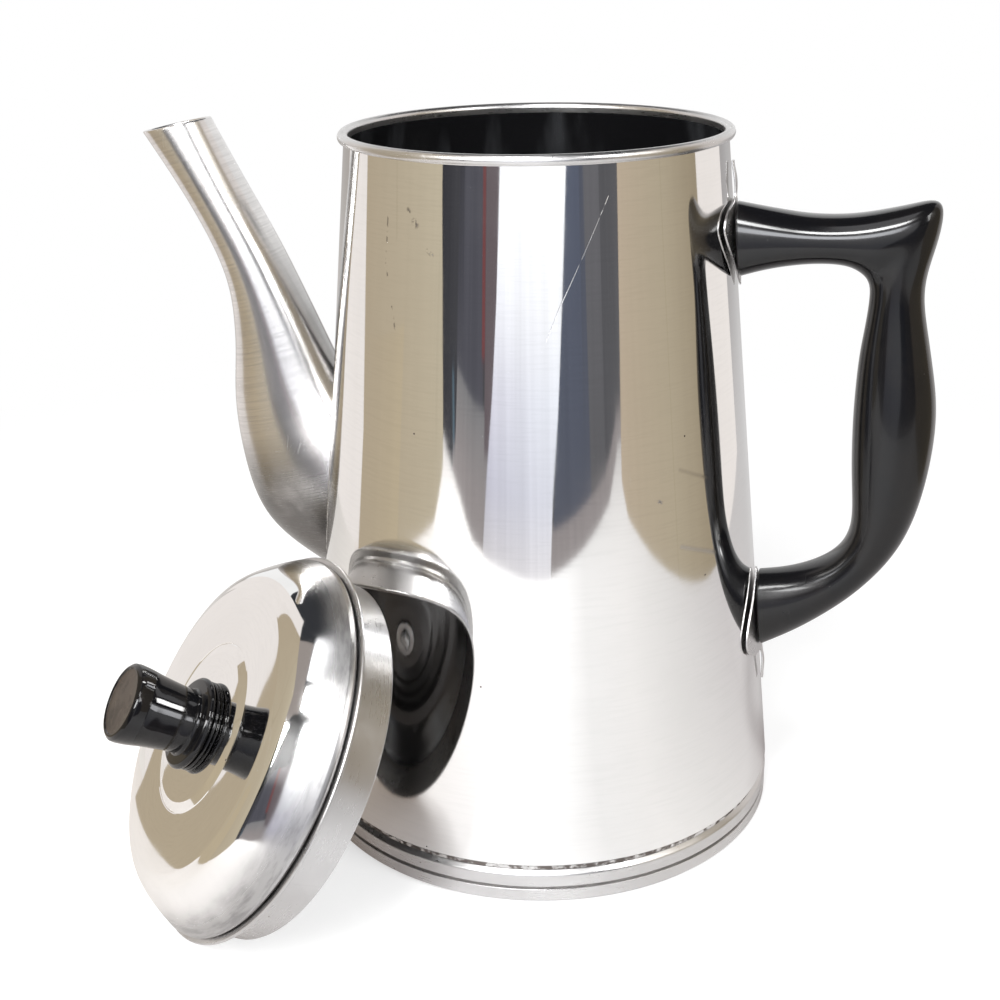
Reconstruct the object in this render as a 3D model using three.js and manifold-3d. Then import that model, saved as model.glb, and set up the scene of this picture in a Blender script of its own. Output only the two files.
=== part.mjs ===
// Spouted coffee pot: a tapering aluminium body on a rolled base, a swept spout, a Bakelite handle screwed
// on through the wall, and its lid taken off and leaning against the side.
// Millimetres, +Z up. The origin is the centre of the underside. The handle points to +X, the spout to -X.

import * as THREE from 'three';
import { mergeVertices } from 'three/addons/utils/BufferGeometryUtils.js';
import Module from 'manifold-3d';

const wasm = await Module();
wasm.setup();

// ---------------------------------------------------------------- driving dimensions

const clearance = 0.3; // between pieces that seat on each other

// Body
const potHeight = 210;
const mouthRadius = 54.1; // outside of the cone at the rim
const coneFootRadius = 73.5; // outside of the cone at its lower end
const bodyWall = 1.0;
const rimBeadRadius = 0.95;
const bodySegments = 64;

// Base
const footProud = 0.1; // foot past the lower end of the cone
const footRadius = coneFootRadius + footProud;
const footHeight = 4.4;
const footChamfer = 1.8;
const grooveDepth = 1.3;
const grooveHeight = 0.6;
const bandHeight = 5.2; // rolled band above the groove
const neckDepth = 1.0; // shadow line between band and cone
const neckHeight = 2.3;
const neckTurn = 0.7; // height in which the cone's lower edge turns in to the shadow line
const floorThickness = 2.6;
const spigotHeight = 6.0; // upstand of the base inside the body
const spigotWall = 1.5;

// Spout
const spoutWall = 1.2;
const spoutTipStandOff = 38.3; // middle of the pouring lip past the foot of the cone
const spoutTipReach = coneFootRadius + spoutTipStandOff;
const spoutTipDrop = 1.4; // from the rim down to the middle of the pouring lip
const spoutTipHeight = potHeight - spoutTipDrop;
const spoutTipRake = 4.2; // how much the outer lip lies below the inner one
const spoutTipDepth = 20.6; // along the pour
const spoutTipWidth = 20.5; // across the pour
const spoutNeckWidth = 23;
const spoutBellyStandOff = 25.4; // outermost part of the belly past the foot of the cone
const spoutBellyReach = coneFootRadius + spoutBellyStandOff;
const spoutRootHeight = 99; // middle of the root on the body
const spoutRootDepth = 62;
const spoutRootWidth = 38;

// Strainer holes in the wall behind the spout
const strainerHoleRadius = 2.4;
const strainerPitch = 7.5;
const strainerRings = 2;

// Handle
const handleTopDrop = 30; // from the rim down to the middle of the upper end, and its screw
const handleTopHeight = potHeight - handleTopDrop;
const handleLowHeight = 67; // middle of the lower end, and its screw
const handleStandOff = 42.8; // outermost face of the grip past the foot of the cone
const handleReach = coneFootRadius + handleStandOff;
const handleTopDepth = 20.8;
const handleLowDepth = 23.4;
const handleWidth = 19;
const armDepth = 13.4;
const hornDepth = 29;
const neckGripDepth = 15;
const gripDepth = 23;
const gripWidth = 21.5;
const lowArmDepth = 17;

// Brackets between handle and body
const bracketThickness = 1.0;
const bracketPointReach = 13.0; // from the screw towards the finger gap
const upperBracketWidth = 27;
const upperBracketReach = 10.5; // from the screw away from the finger gap
const lowerBracketWidth = 33;
const lowerBracketReach = 13.0;
const tangWidth = 6;
const tangLength = 10;

// Handle fasteners
const screwRadius = 2.1;
const screwLength = 13; // past the outside of the wall
const screwHeadRadius = 4.6;
const screwHeadHeight = 2.6;
const screwSlotWidth = 1.0;
const screwSlotDepth = 1.1;
const washerRadius = 6;
const washerThickness = 1.0;
const insertRadius = 3.6;
const insertLength = 13;
const holeClearance = 0.5; // round a screw that passes through

// Lid, along its own axis, measured from the groove between dome and collar
const collarPlay = 1.4; // round the collar inside the mouth
const collarRadius = mouthRadius - bodyWall - collarPlay;
const collarHeight = 12.7;
const collarWall = 1.0;
const flangeOverhang = 1.4; // past the outside of the mouth
const flangeRadius = mouthRadius + flangeOverhang;
const flangeThickness = 1.1;
const flangeLedge = 1.3; // flange past the dome
const domeRadius = flangeRadius - flangeLedge;
const domeRise = 18.8;
const domeSheet = 1.1;
const crownRadius = 34; // ring where the dome is highest
const dishRadius = 23.4;
const dishHeight = 15.9; // edge of the dished middle
const dishStep = 0.9;
const lidSegments = 56;

// Knob
const knobTopRadius = 10.9;
const knobTopHeight = 40.1;
const knobRootRadius = 9.0;
const knobFlangeRadius = 12.9;
const knobFlangeThickness = 2.4;
const knobFaceRecess = 0.4;
const knobFaceRadius = 9.3;
const guardInset = 0.4; // guard ring inside the knob's flange
const guardRadius = knobFlangeRadius - guardInset;
const guardThickness = 2.4;
const knobInsertRadius = 3.1;
const knobInsertLength = 11;
const knobScrewRadius = 1.9;
const knobScrewHeadRadius = 4.4;
const knobScrewHeadHeight = 2.4;
const knobScrewLength = 9; // past the top of the guard ring
const knobWasherRadius = 8;
const knobWasherThickness = 0.8;

// How the lid leans
const lidTilt = 32.2; // degrees of the knob above level
const lidFacing = -141.7; // degrees, way the knob points, seen from above
const lidBearing = -125.9; // degrees, way from the pot axis to the lid

// ---------------------------------------------------------------- colours

const polishedAluminium = { color: 0xd9d7d2, roughness: 0.12, metalness: 1.0 };
const satinAluminium = { color: 0xc9c7c3, roughness: 0.42, metalness: 1.0 };
const blackBakelite = { color: 0x0e0e10, roughness: 0.16, metalness: 0.0 };
const zincSteel = { color: 0xb9bcbf, roughness: 0.35, metalness: 1.0 };
const brass = { color: 0xb59a55, roughness: 0.3, metalness: 1.0 };

// ---------------------------------------------------------------- solids

// One closed body with merged corners and its faces pointing out.
function closed(geometry) {
  geometry.deleteAttribute('normal');
  geometry.deleteAttribute('uv');
  const merged = mergeVertices(geometry, 1e-4);
  const position = merged.getAttribute('position');
  const source = merged.getIndex().array;
  const kept = [];
  let volume = 0;
  const a = new THREE.Vector3();
  const b = new THREE.Vector3();
  const c = new THREE.Vector3();
  for (let i = 0; i < source.length; i += 3) {
    const [p, q, r] = [source[i], source[i + 1], source[i + 2]];
    if (p === q || q === r || r === p) continue;
    kept.push(p, q, r);
    a.fromBufferAttribute(position, p);
    b.fromBufferAttribute(position, q);
    c.fromBufferAttribute(position, r);
    volume += a.dot(b.cross(c));
  }
  if (volume < 0) kept.reverse();
  merged.setIndex(kept);
  merged.computeVertexNormals();
  return merged;
}

// A solid turned about Z from a profile of [radius, height] points.
function turned(profile, segments) {
  const points = profile.map(([radius, height]) => new THREE.Vector2(radius, height));
  return closed(new THREE.LatheGeometry(points, segments).rotateX(Math.PI / 2));
}

// A solid turned about Z from a profile that closes on itself.
function turnedRing(profile, segments) {
  return turned([...profile, profile[0]], segments);
}

// A skin through rings of equal count: capped at both ends, or closed round from the last ring to the first.
function lofted(rings, closesRound) {
  const count = rings[0].length;
  const points = rings.flat();
  const index = [];
  const quad = (p, q, r, s) => index.push(p, q, r, p, r, s);
  const spans = closesRound ? rings.length : rings.length - 1;
  for (let j = 0; j < spans; j += 1) {
    const here = j * count;
    const next = ((j + 1) % rings.length) * count;
    for (let k = 0; k < count; k += 1) {
      const l = (k + 1) % count;
      quad(here + k, here + l, next + l, next + k);
    }
  }
  if (!closesRound) {
    for (const [ring, start, flip] of [[rings[0], 0, true], [rings.at(-1), points.length - count, false]]) {
      const middle = ring.reduce((sum, point) => sum.add(point), new THREE.Vector3()).divideScalar(count);
      points.push(middle);
      const hub = points.length - 1;
      for (let k = 0; k < count; k += 1) {
        const l = (k + 1) % count;
        index.push(hub, start + (flip ? l : k), start + (flip ? k : l));
      }
    }
  }
  const geometry = new THREE.BufferGeometry().setFromPoints(points);
  geometry.setIndex(index);
  return closed(geometry);
}

function toManifold(geometry) {
  return new wasm.Manifold(new wasm.Mesh({
    numProp: 3,
    vertProperties: new Float32Array(geometry.getAttribute('position').array),
    triVerts: new Uint32Array(geometry.getIndex().array),
  }));
}

// The first solid with the others cut out of it.
function cut(geometry, tools) {
  let solid = toManifold(geometry);
  for (const tool of tools) solid = solid.subtract(toManifold(tool));
  const mesh = solid.getMesh();
  const result = new THREE.BufferGeometry();
  result.setAttribute('position', new THREE.BufferAttribute(new Float32Array(mesh.vertProperties), 3));
  result.setIndex(new THREE.BufferAttribute(new Uint32Array(mesh.triVerts), 1));
  return closed(result);
}

// A round pin along Z between two heights.
function pin(radius, from, to, segments) {
  return turned([[0, from], [radius, from], [radius, to], [0, to]], segments);
}

// A flat washer along Z between two heights.
function washer(inner, outer, from, to, segments) {
  const edge = Math.min(0.25, (to - from) / 3);
  return turnedRing([
    [inner, from], [outer - edge, from], [outer, from + edge],
    [outer, to - edge], [outer - edge, to], [inner, to],
  ], segments);
}

function arc(centreRadius, centreHeight, radius, fromDegrees, toDegrees, steps) {
  return Array.from({ length: steps + 1 }, (_, i) => {
    const angle = THREE.MathUtils.degToRad(fromDegrees + ((toDegrees - fromDegrees) * i) / steps);
    return [centreRadius + radius * Math.cos(angle), centreHeight + radius * Math.sin(angle)];
  });
}

function curved(points, steps) {
  return new THREE.SplineCurve(points.map(([x, y]) => new THREE.Vector2(x, y))).getPoints(steps);
}

// A slotted pan-head screw along Z: its head lies below zero, its thread above.
function slottedScrew(radius, length, headRadius, headHeight) {
  const crown = headHeight * 0.35;
  const blank = turned([
    [0, -headHeight], [headRadius * 0.55, -headHeight], [headRadius * 0.88, -headHeight + crown * 0.5],
    [headRadius, -headHeight + crown * 1.5], [headRadius, 0], [radius, 0],
    [radius, length - radius / 2], [radius / 2, length], [0, length],
  ], 18);
  const slot = new THREE.BoxGeometry(screwSlotWidth, 2 * headRadius + 2, 2 * screwSlotDepth);
  return cut(blank, [closed(slot.translate(0, 0, -headHeight))]);
}

// ---------------------------------------------------------------- the body's cone, which everything is set on

const seamHeight = footHeight + grooveHeight + bandHeight;
const coneFootHeight = seamHeight + neckHeight;
const coneSlope = (coneFootRadius - mouthRadius) / (potHeight - coneFootHeight);
const coneAngle = Math.atan(coneSlope);
const coneRadius = (height) => mouthRadius + (potHeight - height) * coneSlope;

// A point on the cone, pushed out from its surface.
function onCone(angle, height, out) {
  const radius = coneRadius(height) + out / Math.cos(coneAngle);
  return new THREE.Vector3(radius * Math.cos(angle), radius * Math.sin(angle), height);
}

// Turns a solid made along Z into one that stands square out of the wall at a height on the handle side.
function outOfWall(geometry, height) {
  return geometry
    .rotateY(Math.PI / 2 - coneAngle)
    .translate(coneRadius(height), 0, height);
}

// ---------------------------------------------------------------- body and base

const bodyFloor = seamHeight + clearance;
const screwHoleRadius = screwRadius + holeClearance;
const handleHeights = { upper: handleTopHeight, lower: handleLowHeight };

function strainerTools() {
  const places = [[0, 0]];
  for (let ring = 1; ring <= strainerRings; ring += 1) {
    for (let i = 0; i < 6 * ring; i += 1) {
      const angle = (i * Math.PI) / (3 * ring);
      places.push([ring * strainerPitch * Math.cos(angle), ring * strainerPitch * Math.sin(angle)]);
    }
  }
  return places.map(([across, up]) => {
    const length = coneFootRadius;
    const tool = pin(strainerHoleRadius, length / 2, length + 2 * strainerPitch, 8);
    return tool.rotateY(-Math.PI / 2).translate(0, across, spoutRootHeight + up);
  });
}

function bodyShell() {
  const beadMiddle = mouthRadius - bodyWall + rimBeadRadius;
  const beadHeight = potHeight - rimBeadRadius;
  const shell = turnedRing([
    [coneFootRadius - neckDepth, bodyFloor],
    [coneFootRadius - neckDepth, coneFootHeight - neckTurn],
    [coneRadius(coneFootHeight), coneFootHeight],
    [coneRadius(potHeight - 2 * rimBeadRadius), potHeight - 2 * rimBeadRadius],
    ...arc(beadMiddle, beadHeight, rimBeadRadius, -40, 180, 5),
    [coneRadius(potHeight - 2 * rimBeadRadius) - bodyWall, potHeight - 2 * rimBeadRadius],
    [coneRadius(coneFootHeight) - bodyWall, coneFootHeight],
    [coneFootRadius - neckDepth - bodyWall, bodyFloor],
  ], bodySegments);
  const screwHoles = Object.values(handleHeights).map((height) => (
    outOfWall(pin(screwHoleRadius, -3 * bodyWall - 1, 3 * bodyWall, 16), height)
  ));
  return cut(shell, [...screwHoles, ...strainerTools()]);
}

function basePan() {
  const groove = footRadius - grooveDepth;
  const spigot = coneFootRadius - neckDepth - bodyWall - clearance;
  const top = seamHeight + spigotHeight;
  const bandMiddle = footHeight + grooveHeight + bandHeight / 2;
  return turned([
    [0, 0],
    [footRadius - footChamfer, 0],
    [footRadius, footChamfer],
    [footRadius, footHeight - grooveHeight],
    [groove, footHeight],
    [groove, footHeight + grooveHeight],
    [footRadius, bandMiddle - bandHeight * 0.25],
    [footRadius, bandMiddle + bandHeight * 0.25],
    [footRadius - 1.4, seamHeight],
    [spigot, seamHeight],
    [spigot, top],
    [spigot - spigotWall, top],
    [spigot - spigotWall, floorThickness + 2],
    [spigot - spigotWall - 2, floorThickness],
    [0, floorThickness],
  ], bodySegments);
}

// ---------------------------------------------------------------- spout

// Pairs of points in the XZ plane: the outer edge of the spout and the inner edge facing the pot.
const spoutHalfTip = spoutTipDepth / 2;
const spoutRootTop = spoutRootHeight + spoutRootDepth / 2;
const spoutRootLow = spoutRootHeight - spoutRootDepth / 2;
const spoutSpan = spoutTipHeight - spoutRootTop;
const spoutInner = [
  [spoutTipReach - spoutHalfTip, spoutTipHeight + spoutTipRake / 2],
  [spoutTipReach - spoutHalfTip - 0.12 * spoutSpan, spoutTipHeight - 0.21 * spoutSpan],
  [spoutTipReach - spoutHalfTip - 0.25 * spoutSpan, spoutTipHeight - 0.45 * spoutSpan],
  [spoutTipReach - spoutHalfTip - 0.375 * spoutSpan, spoutTipHeight - 0.71 * spoutSpan],
  [coneRadius(spoutRootTop) - 0.6, spoutRootTop],
  [coneRadius(spoutRootTop) - 9, spoutRootTop - 0.16 * spoutRootDepth],
  [coneRadius(spoutRootTop) - 16, spoutRootTop - 0.36 * spoutRootDepth],
];
const spoutOuter = [
  [spoutTipReach + spoutHalfTip, spoutTipHeight - spoutTipRake / 2],
  [spoutBellyReach + 9.2, spoutTipHeight - 0.3 * spoutSpan],
  [spoutBellyReach - 0.6, spoutTipHeight - 0.57 * spoutSpan],
  [spoutBellyReach - 1.9, spoutTipHeight - 0.82 * spoutSpan],
  [spoutBellyReach, spoutRootTop - 0.2 * spoutRootDepth],
  [spoutBellyReach - 8, spoutRootLow + 0.27 * spoutRootDepth],
  [coneRadius(spoutRootLow) - 2, spoutRootLow - 0.01 * spoutRootDepth],
];
const spoutWidths = [
  spoutTipWidth, spoutNeckWidth - 1.2, spoutNeckWidth, spoutNeckWidth + 2,
  spoutRootWidth - 8, spoutRootWidth, spoutRootWidth,
];

// A point of the spout's skin, set in from the outer surface by an amount.
function spoutSkin(inner, outer, widths, t, angle, inset) {
  const near = inner.getPoint(t);
  const far = outer.getPoint(t);
  const half = far.clone().sub(near).multiplyScalar(0.5);
  const depthShare = 1 - inset / half.length();
  const middle = near.clone().add(far).multiplyScalar(0.5);
  const width = widths.getPoint(t).y / 2 - inset;
  return new THREE.Vector3(
    -(middle.x + half.x * depthShare * Math.cos(angle)),
    width * Math.sin(angle),
    middle.y + half.y * depthShare * Math.cos(angle),
  );
}

// How far along the spout a line of its skin runs before it meets the body.
function spoutEnd(skin) {
  const outside = (t) => {
    const point = skin(t);
    const gap = Math.hypot(point.x, point.y) - coneRadius(point.z);
    return gap * Math.cos(coneAngle) > clearance;
  };
  let low = 0.3;
  let high = 1;
  for (let i = 0; i < 40; i += 1) {
    const middle = (low + high) / 2;
    if (outside(middle)) low = middle;
    else high = middle;
  }
  return low;
}

function spout() {
  const steps = 14;
  const around = 24;
  const inner = new THREE.SplineCurve(spoutInner.map(([x, z]) => new THREE.Vector2(x, z)));
  const outer = new THREE.SplineCurve(spoutOuter.map(([x, z]) => new THREE.Vector2(x, z)));
  const widths = new THREE.SplineCurve(spoutWidths.map((width, i) => new THREE.Vector2(i, width)));
  const skinRings = (inset) => {
    const lines = Array.from({ length: around }, (_, k) => {
      const angle = (2 * Math.PI * k) / around;
      const skin = (t) => spoutSkin(inner, outer, widths, t, angle, inset);
      const end = spoutEnd(skin);
      return Array.from({ length: steps + 1 }, (_unused, j) => skin((end * j) / steps));
    });
    return Array.from({ length: steps + 1 }, (_, j) => lines.map((line) => line[j]));
  };
  return lofted([...skinRings(0), ...skinRings(spoutWall).reverse()], true);
}

// ---------------------------------------------------------------- handle and its brackets

const bracketOut = clearance; // inner face of a bracket, off the cone
const handleOut = bracketOut + bracketThickness + clearance; // ends of the handle, off the cone
const handleSpan = handleTopHeight - handleLowHeight;

// One cross-section of the handle: its middle, its depth in the XZ plane and the way that depth leans.
function section(x, z, depth, leanDegrees, width) {
  const lean = THREE.MathUtils.degToRad(leanDegrees);
  const reach = new THREE.Vector2(Math.cos(lean), Math.sin(lean)).multiplyScalar(depth / 2);
  return { x, z, reach, width };
}

function handleSections() {
  const wallLean = 90 + THREE.MathUtils.radToDeg(coneAngle);
  const endReach = (height) => coneRadius(height) + handleOut / Math.cos(coneAngle);
  const inFromFace = (distance) => handleReach - distance;
  const up = (share) => handleLowHeight + share * handleSpan;
  return [
    section(endReach(handleTopHeight), handleTopHeight, handleTopDepth, wallLean, handleWidth),
    section(inFromFace(48), up(1.004), (handleTopDepth + armDepth) / 2 - 0.7, 91, handleWidth),
    section(inFromFace(37.4), up(1.006), armDepth, 90, handleWidth),
    section(inFromFace(27), up(1.008), armDepth + 0.9, 78, handleWidth),
    section(inFromFace(18.6), up(1.009), (armDepth + hornDepth) / 2, 62, handleWidth),
    section(inFromFace(12.9), up(1.003), hornDepth, 54, handleWidth - 1),
    section(inFromFace(12.4), up(0.945), (hornDepth + neckGripDepth) / 2 + 4, 48, handleWidth),
    section(inFromFace(14.2), up(0.845), neckGripDepth + 3.4, 36, handleWidth),
    section(inFromFace(13.2), up(0.725), (neckGripDepth + gripDepth) / 2 + 0.7, 14, gripWidth - 1),
    section(inFromFace(11.7), up(0.575), gripDepth, 7, gripWidth),
    section(inFromFace(11.7), up(0.425), gripDepth - 1.4, 2, gripWidth),
    section(inFromFace(12.7), up(0.288), lowArmDepth + 0.2, -3, gripWidth - 1),
    section(inFromFace(16.2), up(0.198), lowArmDepth - 3.0, -23, handleWidth),
    section(inFromFace(22.6), up(0.124), lowArmDepth - 3.4, -57, handleWidth),
    section(inFromFace(30.8), up(0.066), lowArmDepth, -80, handleWidth),
    section(inFromFace(38.8), up(0.027), (lowArmDepth + handleLowDepth) / 2, -84, handleWidth),
    section(endReach(handleLowHeight), handleLowHeight, handleLowDepth, wallLean - 180, handleWidth),
  ];
}

// Round-edged section: 2 would be an ellipse, more is squarer.
const handleSquareness = 2.5;

function handleBlank() {
  const sections = handleSections();
  const edge = (sign) => new THREE.SplineCurve(sections.map(({ x, z, reach }) => (
    new THREE.Vector2(x + sign * reach.x, z + sign * reach.y)
  )));
  const outer = edge(1);
  const inner = edge(-1);
  const widths = new THREE.SplineCurve(sections.map(({ width }, i) => new THREE.Vector2(i, width)));
  const steps = 32;
  const around = 16;
  const squared = (value) => Math.sign(value) * Math.abs(value) ** (2 / handleSquareness);
  const rings = Array.from({ length: steps + 1 }, (_, j) => {
    const t = j / steps;
    const far = outer.getPoint(t);
    const near = inner.getPoint(t);
    const half = far.clone().sub(near).multiplyScalar(0.5);
    const middle = far.clone().add(near).multiplyScalar(0.5);
    const width = widths.getPoint(t).y / 2;
    return Array.from({ length: around }, (_unused, k) => {
      const angle = (2 * Math.PI * k) / around;
      const share = squared(Math.cos(angle));
      return new THREE.Vector3(middle.x + half.x * share, width * squared(Math.sin(angle)), middle.y + half.y * share);
    });
  });
  return lofted(rings, false);
}

function handle() {
  const boreRadius = insertRadius + clearance;
  const boreEnd = Math.max(handleOut + insertLength + 2 * clearance, screwLength + clearance);
  const bores = Object.values(handleHeights).map((height) => (
    outOfWall(pin(boreRadius, handleOut - 2, boreEnd, 18), height)
  ));
  return cut(handleBlank(), bores);
}

// A thin plate that hugs the cone: pointed towards the finger gap, wide behind the end of the handle, and
// drawn out into a narrow tang. away is +1 when the tang points up.
function bracket(height, away, width, reach) {
  const halfWidth = width / 2;
  const outline = [
    [0, -bracketPointReach],
    [0.4 * halfWidth, -0.55 * bracketPointReach],
    [0.84 * halfWidth, 0.0],
    [halfWidth, 0.5 * reach],
    [0.7 * halfWidth, 0.88 * reach],
    [tangWidth / 2, reach + 1],
    [tangWidth / 2, reach + 1 + tangLength / 2],
    [0.8 * (tangWidth / 2), reach + 1 + tangLength],
  ];
  const across = 6;
  const rings = curved(outline, 14).map(({ x, y }) => {
    const half = Math.max(x, 0.5);
    const z = height + away * y;
    const row = (out) => Array.from({ length: across + 1 }, (_, i) => {
      const side = -half + (2 * half * i) / across;
      return onCone(side / coneRadius(z), z, out);
    });
    return [...row(bracketOut), ...row(bracketOut + bracketThickness).reverse()];
  });
  const hole = outOfWall(pin(screwHoleRadius, 0, 3 * bracketThickness, 16), height);
  return cut(lofted(rings, false), [hole]);
}

// The inner wall curves towards a flat washer, so the washer stands off by the height of that curve.
function washerSeat(height) {
  const inside = coneRadius(height) - bodyWall;
  const rise = inside - Math.sqrt(inside ** 2 - washerRadius ** 2);
  return -(bodyWall + rise + clearance);
}

function handleWasher(height) {
  const seat = washerSeat(height);
  return outOfWall(washer(screwHoleRadius, washerRadius, seat - washerThickness, seat, 20), height);
}

function handleScrew(height) {
  const under = washerSeat(height) - washerThickness - clearance;
  const screw = slottedScrew(screwRadius, screwLength - under, screwHeadRadius, screwHeadHeight);
  return outOfWall(screw.translate(0, 0, under), height);
}

function handleInsert(height) {
  const from = handleOut + clearance;
  const bore = screwRadius + clearance;
  const insert = turnedRing([
    [bore, from], [insertRadius - 0.4, from], [insertRadius, from + 0.4],
    [insertRadius, from + insertLength], [bore, from + insertLength],
  ], 18);
  return outOfWall(insert, height);
}

// ---------------------------------------------------------------- lid and knob, along the lid's own axis

const flangeTop = -clearance;
const flangeLow = flangeTop - flangeThickness;
const dishFloor = dishHeight - dishStep;
const knobHoleRadius = knobScrewRadius + holeClearance;

function lidCollar() {
  const inside = collarRadius - collarWall;
  return turnedRing([
    [inside, -collarHeight], [collarRadius - 0.2, -collarHeight], [collarRadius, -collarHeight + 0.4],
    [collarRadius, flangeLow - 1.4], [collarRadius + 0.8, flangeLow - 0.9], [collarRadius + 1.1, flangeLow],
    [flangeRadius - 0.3, flangeLow], [flangeRadius, flangeLow + 0.3],
    [flangeRadius, flangeTop - 0.3], [flangeRadius - 0.3, flangeTop], [inside, flangeTop],
  ], lidSegments);
}

// The outside of the dome, from its rolled edge over the crown to the dished middle.
function domeOutside() {
  const rolled = [[domeRadius - 1.6, 0], [domeRadius - 0.5, 0.2], [domeRadius, 0.9]];
  const shoulder = curved([
    [domeRadius - 0.3, 2.2],
    [domeRadius - 2.2, 0.302 * domeRise],
    [domeRadius - 6.2, 0.588 * domeRise],
    [(domeRadius + crownRadius) / 2 - 1.1, 0.813 * domeRise],
    [crownRadius + 3, 0.975 * domeRise],
    [crownRadius, domeRise],
    [0.4 * crownRadius + 0.6 * dishRadius, 0.55 * domeRise + 0.45 * dishHeight],
    [dishRadius + 0.5, dishHeight + 0.2],
  ], 10).map(({ x, y }) => [x, y]);
  return [...rolled, ...shoulder, [dishRadius, dishHeight], [dishRadius - 0.8, dishFloor]];
}

function lidDome() {
  const outside = domeOutside();
  // Each point moved in along the normal of the line through its neighbours.
  const inside = outside.map(([radius, height], i) => {
    const before = outside[Math.max(i - 1, 0)];
    const after = outside[Math.min(i + 1, outside.length - 1)];
    const run = [after[0] - before[0], after[1] - before[1]];
    const length = Math.hypot(...run);
    return [radius - (domeSheet * run[1]) / length, height + (domeSheet * run[0]) / length];
  });
  const innerFloor = dishFloor - domeSheet;
  return turnedRing([
    ...outside,
    [knobHoleRadius, dishFloor],
    [knobHoleRadius, innerFloor],
    [dishRadius - 1.2, innerFloor],
    ...inside.slice(3, -2).reverse(),
    [domeRadius - 1.6 - domeSheet, domeSheet],
    [domeRadius - 1.6 - domeSheet, 0],
  ], lidSegments);
}

const guardLow = dishFloor + clearance;
const guardTop = guardLow + guardThickness;
const knobLow = guardTop + clearance;

function guardRing() {
  return turnedRing([
    [knobHoleRadius, guardLow], [guardRadius - 0.5, guardLow], [guardRadius, guardLow + 0.6],
    [guardRadius, guardTop - 0.6], [guardRadius - 0.5, guardTop], [knobHoleRadius, guardTop],
  ], 32);
}

function knob() {
  const bore = knobInsertRadius + clearance;
  const boreTop = Math.max(knobLow + knobInsertLength + 2 * clearance, guardTop + knobScrewLength + clearance);
  const flangeTopHeight = knobLow + knobFlangeThickness;
  return turned([
    [0, boreTop], [bore, boreTop], [bore, knobLow],
    [knobFlangeRadius - 0.7, knobLow],
    [knobFlangeRadius, knobLow + 0.8],
    [knobFlangeRadius, flangeTopHeight - 0.8],
    [knobFlangeRadius - 0.8, flangeTopHeight],
    [knobRootRadius + 0.4, flangeTopHeight + 0.2],
    [knobRootRadius, flangeTopHeight + 1.0],
    [(knobRootRadius + knobTopRadius) / 2, (flangeTopHeight + knobTopHeight) / 2],
    [knobTopRadius, knobTopHeight - 2.0],
    [knobTopRadius - 0.3, knobTopHeight - 0.8],
    [knobTopRadius - 1.0, knobTopHeight],
    [knobFaceRadius, knobTopHeight],
    [knobFaceRadius - 0.2, knobTopHeight - knobFaceRecess],
    [0, knobTopHeight - knobFaceRecess],
  ], 36);
}

function knobInsert() {
  const from = knobLow + clearance;
  return washer(knobScrewRadius + clearance, knobInsertRadius, from, from + knobInsertLength, 18);
}

const knobWasherTop = dishFloor - domeSheet - clearance;

function knobWasher() {
  return washer(knobHoleRadius, knobWasherRadius, knobWasherTop - knobWasherThickness, knobWasherTop, 24);
}

function knobScrew() {
  const under = knobWasherTop - knobWasherThickness - clearance;
  const length = guardTop + knobScrewLength - under;
  return slottedScrew(knobScrewRadius, length, knobScrewHeadRadius, knobScrewHeadHeight)
    .translate(0, 0, under);
}

// ---------------------------------------------------------------- where the lid leans

const tilt = THREE.MathUtils.degToRad(lidTilt);
const facing = THREE.MathUtils.degToRad(lidFacing);
const bearing = THREE.MathUtils.degToRad(lidBearing);
const lidAxis = new THREE.Vector3(
  Math.cos(tilt) * Math.cos(facing),
  Math.cos(tilt) * Math.sin(facing),
  Math.sin(tilt),
);
const lidTurn = new THREE.Quaternion().setFromUnitVectors(new THREE.Vector3(0, 0, 1), lidAxis);

// Circles on the lid that can touch the table or the pot: radius and height along the lid's axis.
const lidCircles = [
  [collarRadius, -collarHeight],
  [flangeRadius, flangeLow],
  [domeRadius, 0.9],
];

// The lid's lowest circle stands on the table.
const lidHeight = Math.max(...lidCircles.map(([radius, along]) => (
  radius * Math.cos(tilt) - along * Math.sin(tilt)
)));

// Smallest gap between those circles and the cone when the lid's centre is this far from the pot axis.
function lidGap(distance) {
  const centre = new THREE.Vector3(distance * Math.cos(bearing), distance * Math.sin(bearing), lidHeight);
  const point = new THREE.Vector3();
  let gap = Infinity;
  for (const [radius, along] of lidCircles) {
    for (let i = 0; i < 240; i += 1) {
      const angle = (i * Math.PI) / 120;
      point.set(radius * Math.cos(angle), radius * Math.sin(angle), along);
      point.applyQuaternion(lidTurn).add(centre);
      const body = Math.max(coneRadius(point.z), point.z < coneFootHeight ? footRadius : 0);
      gap = Math.min(gap, Math.hypot(point.x, point.y) - body);
    }
  }
  return gap * Math.cos(coneAngle);
}

// The lid is moved in until it rests against the pot.
function lidDistance() {
  let near = 0;
  let far = 4 * footRadius;
  for (let i = 0; i < 50; i += 1) {
    const middle = (near + far) / 2;
    if (lidGap(middle) > clearance) far = middle;
    else near = middle;
  }
  return far;
}

// ---------------------------------------------------------------- assembly

function piece(name, geometry, finish) {
  const mesh = new THREE.Mesh(geometry, new THREE.MeshStandardMaterial(finish));
  mesh.name = name;
  return mesh;
}

const group = new THREE.Group();
group.add(
  piece('body_shell', bodyShell(), polishedAluminium),
  piece('base_pan', basePan(), satinAluminium),
  piece('spout', spout(), satinAluminium),
  piece('handle', handle(), blackBakelite),
);

group.add(
  piece(
    'handle_bracket_upper',
    bracket(handleTopHeight, 1, upperBracketWidth, upperBracketReach),
    satinAluminium,
  ),
  piece(
    'handle_bracket_lower',
    bracket(handleLowHeight, -1, lowerBracketWidth, lowerBracketReach),
    satinAluminium,
  ),
);

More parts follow.
